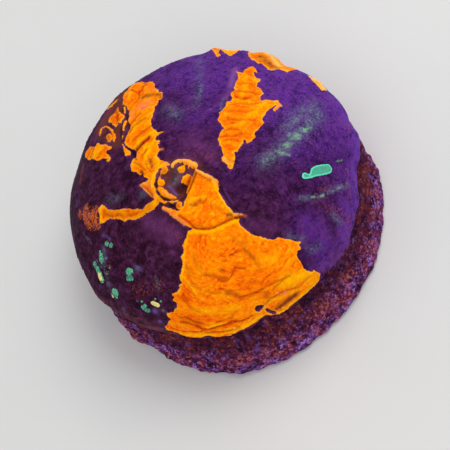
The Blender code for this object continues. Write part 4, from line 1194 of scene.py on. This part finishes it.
crustColours = {
    "dark": (34, 10, 18), "plum": (80, 32, 72), "maroon": (112, 38, 56), "brown": (150, 72, 58),
    "purple": (98, 62, 146), "pink": (176, 92, 132), "lilac": (164, 124, 196), "amber": (182, 104, 64),
    "blotch": (122, 82, 152), "band": (76, 48, 122),
}
crustGrain = {
    "zone": (4.0, 3.0, 0.6), "fleck": (1.0, 3.0, 0.66), "grain": (0.35, 3.0, 0.6),
    "otherZone": (3.2, 3.0, 0.6), "otherFleck": (0.9, 3.0, 0.66), "blotch": (2.2, 2.0, 0.5),
}
crustLayers = {
    "underLip": (5.0, 11.0, 1.0), "shade": (0.5, 0.38, 0.8), "band": (4.0, 0.5, 0.6), "bandFlecks": (0.4, 0.6, 1.0),
    "blotch": (0.54, 0.62, 0.65), "purple": (0.63, 0.69, 0.85), "pink": (0.655, 0.71, 0.85),
    "amber": (0.58, 0.64, 0.85), "lilac": (0.72, 0.78, 0.85), "pitShade": (-0.12, -0.24, 0.5),
}
crustFinish = {
    "roughness": 0.8,
    "unevenness": 0.2,
    "specular": 0.05,
    # emission of the base colour: a painted glow that flattens the shading
    "paintedGlowStrength": 0.2,
    "bumpStrength": 0.6,
    "bumpDistance": 0.4,
    "otherPlace": (0.03, 0.05, 0.02),      # metres to where the second set of noises is read
}


def crustMaterial():
    bench = Bench("mottledCrust", crustColours, crustGrain, crustLayers)
    layer = bench.layer
    place = bench.add("ShaderNodeTexCoord", output=3)
    elsewhere = bench.add("ShaderNodeVectorMath", {"operation": "ADD"}, {0: place, 1: crustFinish["otherPlace"]})
    zone, fleck, grain = bench.noises(place, "zone", "fleck", "grain")
    otherZone, otherFleck, blotch = bench.noises(elsewhere, "otherZone", "otherFleck", "blotch")
    level = bench.field("level")
    # Painted shadow beneath the polyp's overhanging lip: the wall darkens towards its top
    lipShadow = layer("underLip", level + (zone - 0.5) * 8.0)
    specks = {
        "purple": fleck * 0.8 + otherZone * 0.4, "pink": otherFleck * 0.8 + zone * 0.4,
        "amber": fleck * 0.5 + otherFleck * 0.5 - otherZone * 0.3 + 0.15,
        "lilac": fleck * 0.6 + grain * 0.3 + otherZone * 0.4}
    stone = bench.paint(
        bench.ramp(zone * 0.5 + otherFleck * 0.5, (0.38, "dark"), (0.46, "plum"), (0.52, "maroon"), (0.6, "brown")),
        (layer("shade", grain * 0.6 + fleck * 0.4), "dark"),
        (layer("band", level) * layer("bandFlecks", fleck), "band"),
        (layer("blotch", blotch * 0.75 + grain * 0.25 - lipShadow * 0.04), "blotch"),
        *((layer(name, amount - lipShadow * 0.05), name) for name, amount in specks.items()),
        # painted shadow beneath the lip
        (lipShadow * 0.45, "dark"),
        # Painted shade in the hollows between the granules
        (layer("pitShade", bench.field("grit")), "dark"))
    return bench.finish(stone, grain, grain + fleck, crustFinish)


# Settles the pieces in the box of the solids
def fitBox(pieces):
    points = [meshPoints(piece.data) for piece in pieces]
    together = np.concatenate(points)
    low, high = np.array(cadBox[0]), np.array(cadBox[1])
    lookLow, lookHigh = together.min(axis=0), together.max(axis=0)
    for piece, own in zip(pieces, points):
        moved = low + (own - lookLow) * (high - low) / (lookHigh - lookLow)
        piece.data.vertices.foreach_set("co", moved.ravel())
        piece.data.update()


stageLook = {
    "floorSize": 1.6,           # metres from the middle to the edge
    "floorColour": (244, 243, 240),
    "floorDarker": 0.96,
    "floorRoughness": 0.9,
    "cloudSize": 60.0,          # mm
    "world": (0.95, 0.96, 1.0),
    "worldStrength": 0.5,
    "keyPower": 2.6,
    "keySize": 0.5,
    "keyPlace": (0.42, 0.10, 0.62),
    "fillPower": 0.9,
    "fillSize": 0.7,
    "fillPlace": (-0.3, -0.62, 0.45),
}


def buildStage():
    look, scene = stageLook, bpy.context.scene
    bench = Bench("paleFloor")
    cloud = bench.noise(bench.add("ShaderNodeTexCoord", output=3), look["cloudSize"], 3.0)
    darker = tuple(look["floorDarker"] * c for c in look["floorColour"])
    bench.feed(bench.shader.inputs["Base Color"], bench.blend(cloud, look["floorColour"], darker))
    bench.shader.inputs["Roughness"].default_value = look["floorRoughness"]
    body = bmesh.new()
    bmesh.ops.create_grid(body, x_segments=2, y_segments=2, size=look["floorSize"])
    floor = newPiece("floor", meshOf(body, "floor"), bench.material)
    scene.world = bpy.data.worlds.new("softRoom")
    scene.world.use_nodes = True
    backdrop = scene.world.node_tree.nodes["Background"]
    backdrop.inputs["Color"].default_value = (*look["world"], 1.0)
    backdrop.inputs["Strength"].default_value = look["worldStrength"]
    for name in ("key", "fill"):
        light = bpy.data.lights.new(name + "Light", "AREA")
        light.energy, light.size = look[name + "Power"], look[name + "Size"]
        lamp = bpy.data.objects.new(name + "Light", light)
        lamp.location = Vector(look[name + "Place"])
        lamp.rotation_euler = (-lamp.location).to_track_quat("-Z", "Y").to_euler()
        scene.collection.objects.link(lamp)
    scene.view_settings.view_transform = "Standard"


# Looks through the middle of the photograph's frame, turned as the photograph is
def buildCamera():
    eye = viewAxes()[-1]
    middle = photoView["frameSize"] / 2
    rays = pixelRays([(middle, middle), (middle, middle - 1.0)])[1]
    ahead, above = Vector(rays[0]).normalized(), Vector(rays[1] - rays[0])
    above = (above - ahead * above.dot(ahead)).normalized()
    turn = Matrix((ahead.cross(above), above, -ahead)).transposed()
    camera = bpy.data.cameras.new("photoCamera")
    camera.lens, camera.sensor_width = photoView["lens"], photoView["sensorWidth"]
    viewer = bpy.data.objects.new("photoCamera", camera)
    viewer.matrix_world = Matrix.Translation(Vector(eye) * mm) @ turn.to_4x4()
    bpy.context.scene.collection.objects.link(viewer)
    bpy.context.scene.camera = viewer


buildCamera()
buildStage()
print("stage ready")
polyp = buildPolyp(fleshMaterial())
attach(polyp, "root")
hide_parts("polyp")
print("polyp ready:", len(polyp.data.polygons), "faces")
skeleton = buildSkeleton(crustMaterial())
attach(skeleton, "root")
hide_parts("skeleton")
print("skeleton ready:", len(skeleton.data.polygons), "faces")

fitBox([polyp, skeleton])
